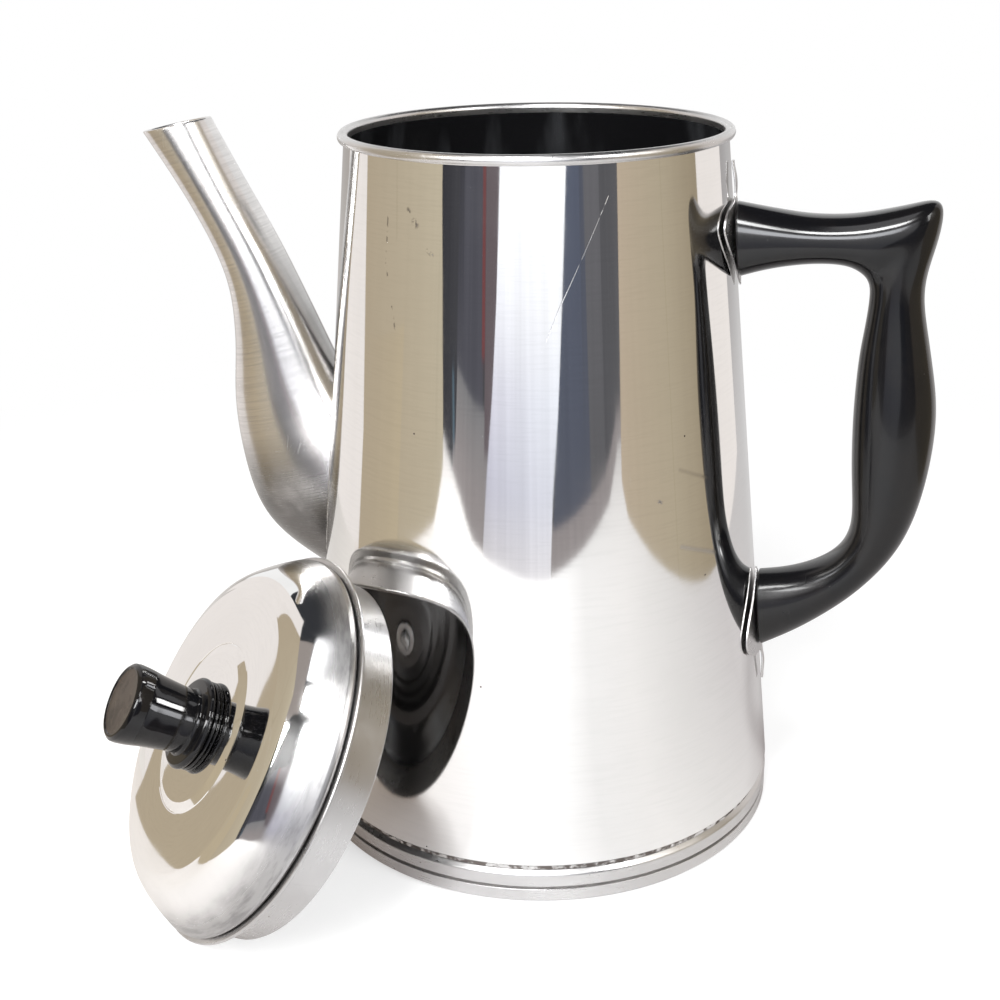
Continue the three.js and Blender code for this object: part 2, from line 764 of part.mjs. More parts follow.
for (const [place, height] of Object.entries(handleHeights)) {
  group.add(
    piece(`handle_washer_${place}`, handleWasher(height), zincSteel),
    piece(`handle_screw_${place}`, handleScrew(height), zincSteel),
    piece(`handle_insert_${place}`, handleInsert(height), brass),
  );
}

const lid = new THREE.Group();
lid.add(
  piece('lid_dome', lidDome(), polishedAluminium),
  piece('lid_collar', lidCollar(), satinAluminium),
  piece('knob_guard_ring', guardRing(), blackBakelite),
  piece('knob', knob(), blackBakelite),
  piece('knob_insert', knobInsert(), brass),
  piece('knob_washer', knobWasher(), zincSteel),
  piece('knob_screw', knobScrew(), zincSteel),
);
const distance = lidDistance();
lid.position.set(distance * Math.cos(bearing), distance * Math.sin(bearing), lidHeight);
lid.quaternion.copy(lidTurn);
group.add(lid);

export default group;
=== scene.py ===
"""Spouted aluminium coffee pot with a Bakelite handle, and its lid leaning against the side."""

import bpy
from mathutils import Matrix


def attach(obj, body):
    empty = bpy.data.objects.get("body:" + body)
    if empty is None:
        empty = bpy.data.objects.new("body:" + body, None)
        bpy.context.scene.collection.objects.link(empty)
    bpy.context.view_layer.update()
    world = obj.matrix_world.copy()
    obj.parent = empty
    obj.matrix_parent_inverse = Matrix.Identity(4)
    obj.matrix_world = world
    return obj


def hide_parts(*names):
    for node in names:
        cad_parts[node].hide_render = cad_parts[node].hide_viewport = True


bl_info = {
    "name": "Spouted Coffee Pot",
    "version": (1, 0, 0),
    "blender": (4, 5, 0),
    "location": "3D View > Sidebar > Coffee Pot",
    "description": "Builds the wall, base, spout, handle, lid and knob of a coffee pot with their finishes",
    "category": "Add Mesh",
}

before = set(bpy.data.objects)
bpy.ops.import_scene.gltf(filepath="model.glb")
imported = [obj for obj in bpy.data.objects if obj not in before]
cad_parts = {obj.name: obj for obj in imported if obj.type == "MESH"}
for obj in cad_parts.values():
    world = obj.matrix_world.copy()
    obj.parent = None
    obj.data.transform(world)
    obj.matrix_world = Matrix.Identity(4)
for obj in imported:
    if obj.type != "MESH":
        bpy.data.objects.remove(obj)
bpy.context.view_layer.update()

import math

import bmesh
import bpy
from bpy.props import FloatProperty, FloatVectorProperty, IntProperty, PointerProperty
from mathutils import Matrix, Vector

MM = 0.001
CREASE = math.radians(38)  # faces that meet at more than this show an edge
RING_CREASE = math.radians(45)  # the same for the lid's sleeve and the ring under the knob
KNOB_CREASE = math.radians(42)  # for the knob
SOFT_CREASE = math.radians(50)  # for the base and the handle
AROUND = 288  # faces round a large turned piece
KNOB_SIDES = 160  # round the knob and its ring
WASHER_SIDES = 72
SCREW_SIDES = 56
BORE_SIDES = 40  # round a bore or a screw hole
HOLE_SIDES = 28  # round a strainer hole
MEAN_RADIUS = 0.06  # of the wall, to measure scratches round it
LID_RING_PITCH = 0.0068  # spun rings inside the lid
COLUMN = 0.02  # width of a studio card's faces
STRIP_GAP = 0.002  # share by which a strip of a card stands nearer than the one behind it


# ---------------------------------------------------------------- settings a user would change


def length(name, description, millimetres):
    """A length property, stored in metres."""
    return FloatProperty(
        name=name, description=description, default=millimetres * MM,
        unit="LENGTH", subtype="DISTANCE", precision=5,
    )


def share(name, description, value):
    """A share from 0 to 1."""
    return FloatProperty(
        name=name, description=description, default=value, min=0.0, max=1.0, subtype="FACTOR",
    )


def tint(name, description, colour):
    """A linear colour property."""
    return FloatVectorProperty(
        name=name, description=description, default=colour, size=3, min=0.0, max=1.0, subtype="COLOR",
    )


def turn(name, description, degrees):
    """An angle, stored in radians."""
    return FloatProperty(
        name=name, description=description, default=math.radians(degrees), subtype="ANGLE", unit="ROTATION",
    )


class CoffeePotBody(bpy.types.PropertyGroup):
    """Sizes of the wall and the base."""

    height: length("Height", "From the table to the top of the rim", 210)
    mouth_radius: length("Mouth radius", "Outside of the cone at the rim", 54.1)
    foot_radius: length("Cone foot radius", "Outside of the cone at its lower end", 73.5)
    wall: length("Wall", "Thickness of the sheet", 1.0)
    bead_radius: length("Rim bead radius", "Radius of the rolled rim", 1.5)
    base_proud: length("Base overhang", "Base past the lower end of the cone", 0.1)
    base_foot: length("Foot height", "Lower band of the base", 4.4)
    base_groove: length("Groove depth", "Groove between foot and rolled band", 1.3)
    base_band: length("Band height", "Rolled band above the groove", 5.2)
    neck: length("Shadow line height", "Set-back between rolled band and cone", 2.3)
    neck_depth: length("Shadow line depth", "How far that line is set back", 1.0)
    floor: length("Floor thickness", "Sheet under the coffee", 2.6)
    spigot: length("Spigot height", "Upstand of the base inside the wall", 6.0)
    spigot_wall: length("Spigot wall", "Thickness of that upstand", 1.5)
    clearance: length("Clearance", "Between pieces that seat on each other", 0.3)


class CoffeePotSpout(bpy.types.PropertyGroup):
    """Sizes of the spout and the strainer behind it."""

    wall: length("Wall", "Thickness of the spout", 1.2)
    tip_reach: length("Tip reach", "Pot axis to the middle of the pouring lip", 111.8)
    tip_drop: length("Tip drop", "From the rim of the pot down to the middle of the lip", 1.4)
    tip_rake: length("Tip rake", "How much the outer lip lies below the inner one", 4.2)
    tip_depth: length("Tip depth", "Lip along the pour", 20.6)
    tip_width: length("Tip width", "Lip across the pour", 20.5)
    neck_width: length("Neck width", "Across the neck", 23.0)
    belly_reach: length("Belly reach", "Pot axis to the outermost part of the belly", 98.9)
    root_height: length("Root height", "Middle of the root on the wall", 99.0)
    root_depth: length("Root depth", "Root from top to bottom", 62.0)
    root_width: length("Root width", "Root across", 38.0)
    hole_radius: length("Strainer hole radius", "Holes in the wall behind the spout", 2.4)
    hole_pitch: length("Strainer pitch", "Spacing of those holes", 7.5)
    hole_rings: IntProperty(name="Strainer rings", description="Rings of holes round the middle one",
                            default=2, min=0, max=3)
    weld: length("Weld bead", "Radius of the bead round the root", 0.55)


class CoffeePotHandle(bpy.types.PropertyGroup):
    """Sizes of the handle, its brackets and its screws."""

    top_height: length("Upper end", "Height of the upper end and its screw", 180.0)
    low_height: length("Lower end", "Height of the lower end and its screw", 67.0)
    reach: length("Reach", "Pot axis to the outermost face of the grip", 116.3)
    top_depth: length("Upper end depth", "Upper end from top to bottom", 20.8)
    low_depth: length("Lower end depth", "Lower end from top to bottom", 23.4)
    width: length("Arm width", "Across the arms", 19.0)
    arm_depth: length("Upper arm depth", "Upper arm from top to bottom", 13.4)
    horn_depth: length("Horn depth", "Across the corner with the horn", 29.0)
    neck_depth: length("Neck depth", "Thin part below the horn", 15.0)
    grip_depth: length("Grip depth", "Thick part of the grip", 23.0)
    grip_width: length("Grip width", "Across the grip", 21.5)
    low_arm_depth: length("Lower arm depth", "Lower arm from top to bottom", 17.0)
    squareness: FloatProperty(name="Squareness", description="2 is an ellipse, more is squarer",
                              default=2.2, min=2.0, max=6.0)
    plate: length("Bracket space", "Left for a bracket between wall and handle", 1.0)
    plate_sheet: length("Bracket thickness", "Sheet of the brackets", 0.6)
    plate_point: length("Bracket point", "From the screw towards the finger gap", 13.0)
    upper_width: length("Upper bracket width", "Across the upper bracket", 27.0)
    upper_reach: length("Upper bracket reach", "From the screw away from the finger gap", 10.5)
    lower_width: length("Lower bracket width", "Across the lower bracket", 33.0)
    lower_reach: length("Lower bracket reach", "From the screw away from the finger gap", 13.0)
    tang_width: length("Tang width", "Narrow end of a bracket", 3.0)
    tang_length: length("Tang length", "Narrow end of a bracket", 10.0)
    screw_radius: length("Screw radius", "Shank of a handle screw", 2.1)
    screw_length: length("Screw length", "Past the outside of the wall", 13.0)
    head_radius: length("Screw head radius", "Pan head of a handle screw", 4.6)
    head_height: length("Screw head height", "Pan head of a handle screw", 2.6)
    slot_width: length("Slot width", "Driver slot", 1.0)
    slot_depth: length("Slot depth", "Driver slot", 1.1)
    washer_radius: length("Washer radius", "Under a handle screw", 6.0)
    washer: length("Washer thickness", "Under a handle screw", 1.0)
    insert_radius: length("Insert radius", "Threaded insert in the Bakelite", 3.6)
    insert_length: length("Insert length", "Threaded insert in the Bakelite", 13.0)
    hole_clearance: length("Hole clearance", "Round a screw that passes through", 0.5)


class CoffeePotLid(bpy.types.PropertyGroup):
    """Sizes of the lid and its knob, along the lid's own axis from the groove under the dome."""

    collar_radius: length("Collar radius", "Sleeve that goes into the mouth", 51.7)
    collar_height: length("Collar height", "Sleeve that goes into the mouth", 12.7)
    collar_wall: length("Collar wall", "Thickness of the sleeve", 1.0)
    flange_radius: length("Flange radius", "Ledge that sits on the rim", 55.5)
    flange: length("Flange thickness", "Ledge that sits on the rim", 1.1)
    dome_radius: length("Dome radius", "Outside of the dome at its edge", 54.2)
    dome_rise: length("Dome rise", "Height of the crown", 15.95)
    sheet: length("Dome sheet", "Thickness of the dome", 1.1)
    crown_radius: length("Crown radius", "Ring where the dome is highest", 33.0)
    disc_radius: length("Disc radius", "Edge of the raised middle", 23.4)
    disc_height: length("Disc height", "Top of the raised middle", 16.6)
    disc_step: length("Disc step", "How far the middle stands above the dome", 0.95)
    seat_height: length("Seat height", "Where the knob's screw clamps the sheet", 15.0)
    knob_top_radius: length("Knob top radius", "Knob at its top", 10.9)
    knob_top: length("Knob top", "Height of the knob's face", 40.1)
    knob_root_radius: length("Knob root radius", "Knob above its flange", 9.0)
    knob_flange_radius: length("Knob flange radius", "Flange of the knob", 12.9)
    knob_flange: length("Knob flange thickness", "Flange of the knob", 2.4)
    face_recess: length("Face recess", "Depth of the worn face", 0.4)
    face_radius: length("Face radius", "Worn face of the knob", 9.3)
    guard_radius: length("Guard ring radius", "Ring under the knob", 12.5)
    guard: length("Guard ring thickness", "Ring under the knob", 2.4)
    screw_radius: length("Screw radius", "Shank of the knob's screw", 1.9)
    screw_length: length("Screw length", "Past the top of the guard ring", 9.0)
    head_radius: length("Screw head radius", "Head of the knob's screw", 4.4)
    head_height: length("Screw head height", "Head of the knob's screw", 2.4)
    washer_radius: length("Washer radius", "Under the knob's screw", 8.0)
    washer: length("Washer thickness", "Under the knob's screw", 0.8)
    insert_radius: length("Insert radius", "Threaded insert in the knob", 3.1)
    insert_length: length("Insert length", "Threaded insert in the knob", 11.0)


class CoffeePotFinish(bpy.types.PropertyGroup):
    """Colours and polish."""

    polished: tint("Polished aluminium", "Wall and dome", (0.86, 0.855, 0.845))
    satin: tint("Satin aluminium", "Base, collar, rim and brackets", (0.64, 0.63, 0.625))
    brushed: tint("Brushed aluminium", "Spout", (0.72, 0.705, 0.695))
    bakelite: tint("Bakelite", "Handle and knob", (0.0032, 0.0032, 0.0038))
    worn_bakelite: tint("Worn Bakelite", "Face of the knob, where the gloss has gone", (0.050, 0.036, 0.028))
    lining: tint("Lining", "Dark lining inside pot and lid", (0.0040, 0.0040, 0.0045))
    zinc: tint("Zinc", "Screws and washers", (0.52, 0.53, 0.54))
    brass: tint("Brass", "Inserts", (0.50, 0.36, 0.13))
    polish: share("Mirror roughness", "Roughness of the polished sheet", 0.045)
    satin_roughness: share("Satin roughness", "Roughness of the satin metal", 0.26)


class CoffeePotStage(bpy.types.PropertyGroup):
    """Floor, light and camera."""

    floor_tone: tint("Floor", "Colour of the table", (0.9, 0.9, 0.9))
    heading: turn("Camera heading", "Way the camera looks, from +Y towards -X", 15.6285)
    pitch: turn("Camera pitch", "How far the camera looks down", 21.6858)
    roll: turn("Camera roll", "Turn of the camera about its own axis", 1.0885)
    camera_place: FloatVectorProperty(
        name="Camera place", description="Where the camera stands", size=3,
        default=(0.10282, -0.41240, 0.26506), unit="LENGTH", subtype="TRANSLATION",
    )
    lens: FloatProperty(name="Lens", description="Focal length on a 36 mm sensor", default=52.826,
                        unit="CAMERA")


class CoffeePotSettings(bpy.types.PropertyGroup):
    """All settings of the coffee pot."""

    body: PointerProperty(type=CoffeePotBody)
    spout: PointerProperty(type=CoffeePotSpout)
    handle: PointerProperty(type=CoffeePotHandle)
    lid: PointerProperty(type=CoffeePotLid)
    finish: PointerProperty(type=CoffeePotFinish)
    stage: PointerProperty(type=CoffeePotStage)


# ---------------------------------------------------------------- curves and profiles


def along(points, t):
    """A point on the smooth curve through evenly timed 2D points, t from 0 to 1."""
    place = t * (len(points) - 1)
    i = min(int(place), len(points) - 2)
    u = place - i
    p0 = points[max(i - 1, 0)]
    p1 = points[i]
    p2 = points[i + 1]
    p3 = points[min(i + 2, len(points) - 1)]
    result = []
    for a, b, c, d in zip(p0, p1, p2, p3):
        slope_b = (c - a) / 2
        slope_c = (d - b) / 2
        result.append(
            (2 * b - 2 * c + slope_b + slope_c) * u ** 3
            + (-3 * b + 3 * c - 2 * slope_b - slope_c) * u ** 2
            + slope_b * u + b
        )
    return result


def flowing(points, steps, reach):
    """Samples of the smooth curve, evened out over a reach of t so that reflections run without kinks."""
    raw = [along(points, i / steps) for i in range(steps + 1)]
    width = reach * steps
    span = int(3 * width)
    weights = [math.exp(-0.5 * (k / width) ** 2) for k in range(-span, span + 1)]

    def sample(j):
        """A raw sample, or past either end the mirror image through that end."""
        if 0 <= j <= steps:
            return raw[j]
        end = 0 if j < 0 else steps
        return [2 * last - back for last, back in zip(raw[end], raw[2 * end - j])]

    result = []
    for i in range(steps + 1):
        sums = [0.0] * len(raw[0])
        total = 0.0
        for k, weight in zip(range(-span, span + 1), weights):
            total += weight
            sums = [so_far + weight * value for so_far, value in zip(sums, sample(i + k))]
        result.append([value / total for value in sums])
    return result


def turns(count):
    """Evenly spaced angles all the way round."""
    return [2 * math.pi * k / count for k in range(count)]


def at(samples, t):
    """A value of evenly spaced samples, t from 0 to 1."""
    place = min(max(t, 0.0), 1.0) * (len(samples) - 1)
    i = min(int(place), len(samples) - 2)
    u = place - i
    return [a + (b - a) * u for a, b in zip(samples[i], samples[i + 1])]


def rounded(corners, steps=5):
    """A polyline of (radius, height, fillet) corners with each corner rounded by its fillet."""
    line = []
    count = len(corners)
    for i, (x, y, fillet) in enumerate(corners):
        before = corners[i - 1] if i > 0 else None
        after = corners[i + 1] if i + 1 < count else None
        if before is None or after is None or fillet <= 0:
            line.append((x, y))
            continue
        corner = Vector((x, y))
        back = Vector(before[:2]) - corner
        ahead = Vector(after[:2]) - corner
        bend = back.angle(ahead, math.pi)
        if bend > math.pi - 0.02:  # nearly straight
            line.append((x, y))
            continue
        cut = min(fillet / math.tan(bend / 2), 0.48 * back.length, 0.48 * ahead.length)
        start = corner + back.normalized() * cut
        end = corner + ahead.normalized() * cut
        for k in range(steps + 1):
            u = k / steps
            point = start * (1 - u) ** 2 + corner * 2 * u * (1 - u) + end * u ** 2
            line.append((point.x, point.y))
    return line


# ---------------------------------------------------------------- meshes


def new_piece(name, points, faces, finishes, sharp=CREASE):
    """An object with smooth faces, sharp only where faces meet at more than an angle."""
    mesh = bpy.data.meshes.new(name)
    mesh.from_pydata([tuple(p) for p in points], [], faces)
    work = bmesh.new()
    work.from_mesh(mesh)
    bmesh.ops.recalc_face_normals(work, faces=work.faces)
    work.to_mesh(mesh)
    work.free()
    for finish in finishes:
        mesh.materials.append(finish)
    mesh.polygons.foreach_set("use_smooth", [True] * len(mesh.polygons))
    mesh.set_sharp_from_angle(angle=sharp)
    piece = bpy.data.objects.new(name, mesh)
    bpy.context.scene.collection.objects.link(piece)
    return piece


def turned(name, profile, around, finishes, closes=False, sharp=CREASE):
    """A piece turned about Z from a profile of (radius, height), closed on itself or ending on the axis."""
    points, rows = [], []
    for radius, height in profile:
        if radius < 1e-7:  # on the axis
            rows.append([len(points)])
            points.append((0.0, 0.0, height))
            continue
        rows.append(list(range(len(points), len(points) + around)))
        points += [(radius * math.cos(angle), radius * math.sin(angle), height) for angle in turns(around)]
    faces = []
    pairs = list(zip(rows, rows[1:]))
    if closes:
        pairs.append((rows[-1], rows[0]))
    for low, high in pairs:
        for k in range(around):
            n = (k + 1) % around
            if len(low) == 1 and len(high) == 1:
                break
            if len(low) == 1:
                faces.append((low[0], high[n], high[k]))
            elif len(high) == 1:
                faces.append((low[k], low[n], high[0]))
            else:
                faces.append((low[k], low[n], high[n], high[k]))
    return new_piece(name, points, faces, finishes, sharp)


def skinned(name, rings, finishes, closes=False, sharp=CREASE):
    """A piece through rings of equal count, capped at both ends or closed from the last to the first."""
    count = len(rings[0])
    points = [p for ring in rings for p in ring]
    faces = []
    spans = len(rings) if closes else len(rings) - 1
    for j in range(spans):
        here = j * count
        there = ((j + 1) % len(rings)) * count
        for k in range(count):
            n = (k + 1) % count
            faces.append((here + k, here + n, there + n, there + k))
    if not closes:
        faces.append(tuple(range(count)))
        faces.append(tuple(range(len(points) - count, len(points))))
    return new_piece(name, points, faces, finishes, sharp)


def pin(radius, low, high, around=32):
    """A round pin along Z, as a cutter."""
    return turned("cutter", [(0, low), (radius, low), (radius, high), (0, high)], around, [])


def block(size, middle):
    """A box, as a cutter."""
    x, y, z = (s / 2 for s in size)
    corners = [(sx * x, sy * y, sz * z) for sx in (-1, 1) for sy in (-1, 1) for sz in (-1, 1)]
    faces = [(0, 1, 3, 2), (4, 6, 7, 5), (0, 4, 5, 1), (2, 3, 7, 6), (0, 2, 6, 4), (1, 5, 7, 3)]
    return new_piece("cutter", [Vector(c) + Vector(middle) for c in corners], faces, [])


def cut_away(piece, cutters, sharp=CREASE):
    """Cuts the cutters out of a piece and removes them. The result keeps the name of the piece."""
    work = bmesh.new()
    for cutter in cutters:
        work.from_mesh(cutter.data)
    joined = bpy.data.meshes.new("cutters")
    work.to_mesh(joined)
    work.free()
    tool = bpy.data.objects.new("cutters", joined)
    bpy.context.scene.collection.objects.link(tool)
    for cutter in cutters:
        old = cutter.data
        bpy.data.objects.remove(cutter)
        bpy.data.meshes.remove(old)
    step = piece.modifiers.new("cut", "BOOLEAN")
    step.operation = "DIFFERENCE"
    step.solver = "EXACT"
    step.object = tool
    bpy.context.view_layer.update()
    graph = bpy.context.evaluated_depsgraph_get()
    result = bpy.data.meshes.new_from_object(piece.evaluated_get(graph))
    piece.modifiers.clear()
    before = piece.data
    piece.data = result
    result.name = before.name
    bpy.data.meshes.remove(before)
    bpy.data.objects.remove(tool)
    bpy.data.meshes.remove(joined)
    if len(result.polygons) == 0:
        raise RuntimeError(f"cutting left nothing of {piece.name}")
    result.polygons.foreach_set("use_smooth", [True] * len(result.polygons))
    result.set_sharp_from_angle(angle=sharp)
    return piece


def faced(piece, pick):
    """Gives each face the material slot that pick(middle, normal) names."""
    for face in piece.data.polygons:
        face.material_index = pick(face.center, face.normal)


def fitted(piece, body, slot, *nodes):
    """Hands a finished piece to the frame."""
    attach(piece, body)
    if nodes:
        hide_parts(*nodes)


def place(piece, matrix):
    """Puts a piece made along Z where it belongs, in its mesh, so that its origin stays the pot's."""
    piece.data.transform(matrix)
    return piece


# ---------------------------------------------------------------- shader node helpers


class Value:
    """A node's output, so that sums of values can be written as sums."""

    def __init__(self, socket):
        self.socket = socket
        self.tree = socket.id_data

    def maths(self, operation, *values, clamp=False):
        settings_of = {"operation": operation, "use_clamp": clamp}
        return put(self.tree, "Math", self, *values, settings=settings_of)[0]

    def __add__(self, other):
        return self.maths("ADD", other)

    def __mul__(self, other):
        return self.maths("MULTIPLY", other)

    def top(self, other):
        """The greater of two values."""
        return self.maths("MAXIMUM", other)

    def ramp(self, low, high, to_low=0.0, to_high=1.0):
        """The value run smoothly from one range to another, and held at its ends."""
        return put(self.tree, "MapRange", self, low, high, to_low, to_high,
                   settings={"interpolation_type": "SMOOTHSTEP"})[0]

    def parts(self):
        """X, Y and Z of a vector."""
        made = put(self.tree, "SeparateXYZ", self)
        return made[0], made[1], made[2]

    def vector(self, operation, *values, **named):
        """The outputs of vector maths: 0 is the vector, "Value" the number."""
        return put(self.tree, "VectorMath", self, *values, settings={"operation": operation}, **named)


class Outputs:
    """A node, whose outputs are read as values by number or name."""

    def __init__(self, node):
        self.node = node

    def __getitem__(self, key):
        return Value(self.node.outputs[key])


def feed(socket, value):
    """Links a value to a socket, or sets the socket to a number, vector or colour."""
    if isinstance(value, Value):
        socket.id_data.links.new(value.socket, socket)
    elif socket.type == "RGBA":
        socket.default_value = (*value, 1.0)
    else:
        socket.default_value = value


def put(tree, kind, *values, settings=None, **named):
    """Adds a shader node, with its settings, and feeds its inputs in their order or by name."""
    made = tree.nodes.new("ShaderNode" + kind)
    for key, value in (settings or {}).items():
        setattr(made, key, value)
    for socket, value in zip(made.inputs, values):
        feed(socket, value)
    for key, value in named.items():
        feed(made.inputs[key.replace("_", " ")], value)
    return Outputs(made)


def mix(factor, first, second):
    """Blends two colours."""
    tree = next(value.tree for value in (factor, first, second) if isinstance(value, Value))
    made = put(tree, "Mix", factor, settings={"data_type": "RGBA"})
    feed(made.node.inputs[6], first)
    feed(made.node.inputs[7], second)
    return made[2]


def noise(spot, scale, detail, output=0, **more):
    """Noise at a place: output 0 is its value, 1 its colour."""
    return put(spot.tree, "TexNoise", Vector=spot, Scale=scale, Detail=detail, **more)[output]


def dim(colour, factor):
    """A colour times a factor."""
    return [c * factor for c in colour]


def effect(name, *outputs, **inputs):
    """Turns a function that fills a node group into one that adds the group, made once, to a tree. The group
    has a place as its first input, then the given ones: a number for a value, None for a vector."""
    def new_group(fill):
        group = bpy.data.node_groups.new(name, "ShaderNodeTree")
        for label, default in {"Vector": None, **inputs}.items():
            kind = "NodeSocketVector" if default is None else "NodeSocketFloat"
            socket = group.interface.new_socket(name=label, in_out="INPUT", socket_type=kind)
            if default is not None:
                socket.default_value = default
        for label in outputs:
            group.interface.new_socket(name=label, in_out="OUTPUT", socket_type="NodeSocketFloat")
        results = fill(Outputs(group.nodes.new("NodeGroupInput")))
        outlet = group.nodes.new("NodeGroupOutput")
        for label, value in zip(outputs, [results] if len(outputs) == 1 else results):
            feed(outlet.inputs[label], value)
        return group

    def wrap(fill):
        def add(spot, **values):
            group = bpy.data.node_groups.get(name) or new_group(fill)
            made = put(spot.tree, "Group", settings={"node_tree": group}, Vector=spot, **values)
            return made[0] if len(outputs) == 1 else [made[label] for label in outputs]

        return add

    return wrap


@effect("Turned grain", "Lines", "Drift", Around=4.0, Across=1500.0)
def turned_grain(given):
    """Fine lines that run round Z, as a polishing wheel leaves them, and a slow drift along them."""
    x, y, z = given["Vector"].parts()
    far = (x * x + y * y).maths("SQRT").top(1e-5)
    spot = put(far.tree, "CombineXYZ", x.maths("DIVIDE", far) * given["Around"],
               y.maths("DIVIDE", far) * given["Around"], (z + far) * given["Across"])[0]
    return noise(spot, 1.0, 5.0, Roughness=0.62), noise(given["Vector"], 26.0, 3.0)


@effect("Straight grain", "Lines", Angle=0.0, Along=40.0, Across=1500.0)
def straight_grain(given):
    """Fine strokes that lie across one way, with breaks along them."""
    spot = given["Vector"]
    spot = put(spot.tree, "VectorRotate", settings={"rotation_type": "Y_AXIS"}, Vector=spot,
               Angle=given["Angle"])[0]
    scale = put(spot.tree, "CombineXYZ", given["Along"], given["Along"], given["Across"])[0]
    return noise(spot.vector("MULTIPLY", scale)[0], 1.0, 6.0, Roughness=0.68)


@effect("Hairline scratches", "Mask", Scale=90.0, Width=0.012, Rarity=0.6)
def hairlines(given):
    """Short hair scratches in all directions."""
    spot, scale = given["Vector"], given["Scale"]
    bent = noise(spot, 35.0, 2.0, output=1).vector("MULTIPLY_ADD", (0.004, 0.004, 0.004), spot)[0]
    cells = put(spot.tree, "TexVoronoi", settings={"feature": "DISTANCE_TO_EDGE"},
                Vector=bent.vector("MULTIPLY", (1.0, 0.75, 0.28))[0], Scale=scale)
    line = cells["Distance"].ramp(0.0, given["Width"], 1.0, 0.0)
    return line * noise(spot, scale, 2.0).ramp(given["Rarity"], given["Rarity"] + 0.06)


@effect("Handling marks", "Mask", Scale=30.0)
def handling(given):
    """Soft patches left by hands and cloths."""
    return noise(given["Vector"], given["Scale"], 4.0, Roughness=0.6, Distortion=0.4).ramp(0.42, 0.72)


@effect("Specks", "Mask", Scale=400.0, Size=0.1, Rarity=0.9)
def specks(given):
    """Sparse small dots of dirt or dust."""
    spot = given["Vector"]
    cells = put(spot.tree, "TexVoronoi", Vector=spot, Scale=given["Scale"])
    dot = cells["Distance"].ramp(given["Size"], given["Size"] + 0.03, 1.0, 0.0)
    chance = put(spot.tree, "SeparateColor", Color=cells["Color"])[0]
    return dot * chance.maths("GREATER_THAN", given["Rarity"])


@effect("Stroke", "Mask", Start=None, End=None, Width=0.0002, Breaks=160.0, Gaps=0.3)
def stroke(given):
    """One scratch or row of marks on the wall, between two places given by angle round it and height."""
    x, y, z = given["Vector"].parts()
    here = put(x.tree, "CombineXYZ", y.maths("ARCTAN2", x) * MEAN_RADIUS, z)[0]
    start, end = (given[label].vector("MULTIPLY", (MEAN_RADIUS, 1.0, 0.0))[0] for label in ("Start", "End"))
    run = end.vector("SUBTRACT", start)[0]
    reach = here.vector("SUBTRACT", start)[0]
    squared = run.vector("DOT_PRODUCT", run)["Value"]
    step = reach.vector("DOT_PRODUCT", run)["Value"].maths("DIVIDE", squared, clamp=True)
    off = reach.vector("DISTANCE", run.vector("SCALE", Scale=step)[0])["Value"]
    line = off.ramp(0.0, given["Width"], 1.0, 0.0)
    return line * noise(given["Vector"], given["Breaks"], 3.0).ramp(given["Gaps"], given["Gaps"] + 0.08)


@effect("Surface waves", "Height", Scale=20.0, Rise=1e-5)
def waves(given):
    """The slow unevenness of hand-polished sheet or moulding, in metres of height."""
    return noise(given["Vector"], given["Scale"], 2.0, Roughness=0.4) * given["Rise"]


# ---------------------------------------------------------------- finishes


def finish(name):
    """Turns a function that gives a colour, a roughness, heights for the bump, and what else its shader's
    sockets are set to, into one that gives the material, made once for the pot and once for the lid's lie."""
    def wrap(dress):
        def give(lie=None):
            label = f"{name}, lid" if lie else name
            made = bpy.data.materials.get(label)
            if made:
                return made
            made = bpy.data.materials.new(label)
            made.use_nodes = True
            tree = made.node_tree
            shader = next(n for n in tree.nodes if n.type == "BSDF_PRINCIPLED")
            spot = put(tree, "TexCoord")["Object"]
            if lie:
                spot = put(tree, "Mapping", settings={"vector_type": "TEXTURE"}, Vector=spot,
                           Location=lie.translation, Rotation=lie.to_euler())[0]
            tone, rough, heights, rest = dress(spot, lie is not None, settings().finish)
            feed(shader.inputs["Base Color"], tone)
            feed(shader.inputs["Roughness"], rough)
            for socket, value in rest.items():
                feed(shader.inputs[socket], value)
            bump = put(tree, "Bump", Strength=1.0, Distance=1.0, Height=sum(heights[1:], heights[0]))
            feed(shader.inputs["Normal"], bump[0])
            return made

        return give

    return wrap


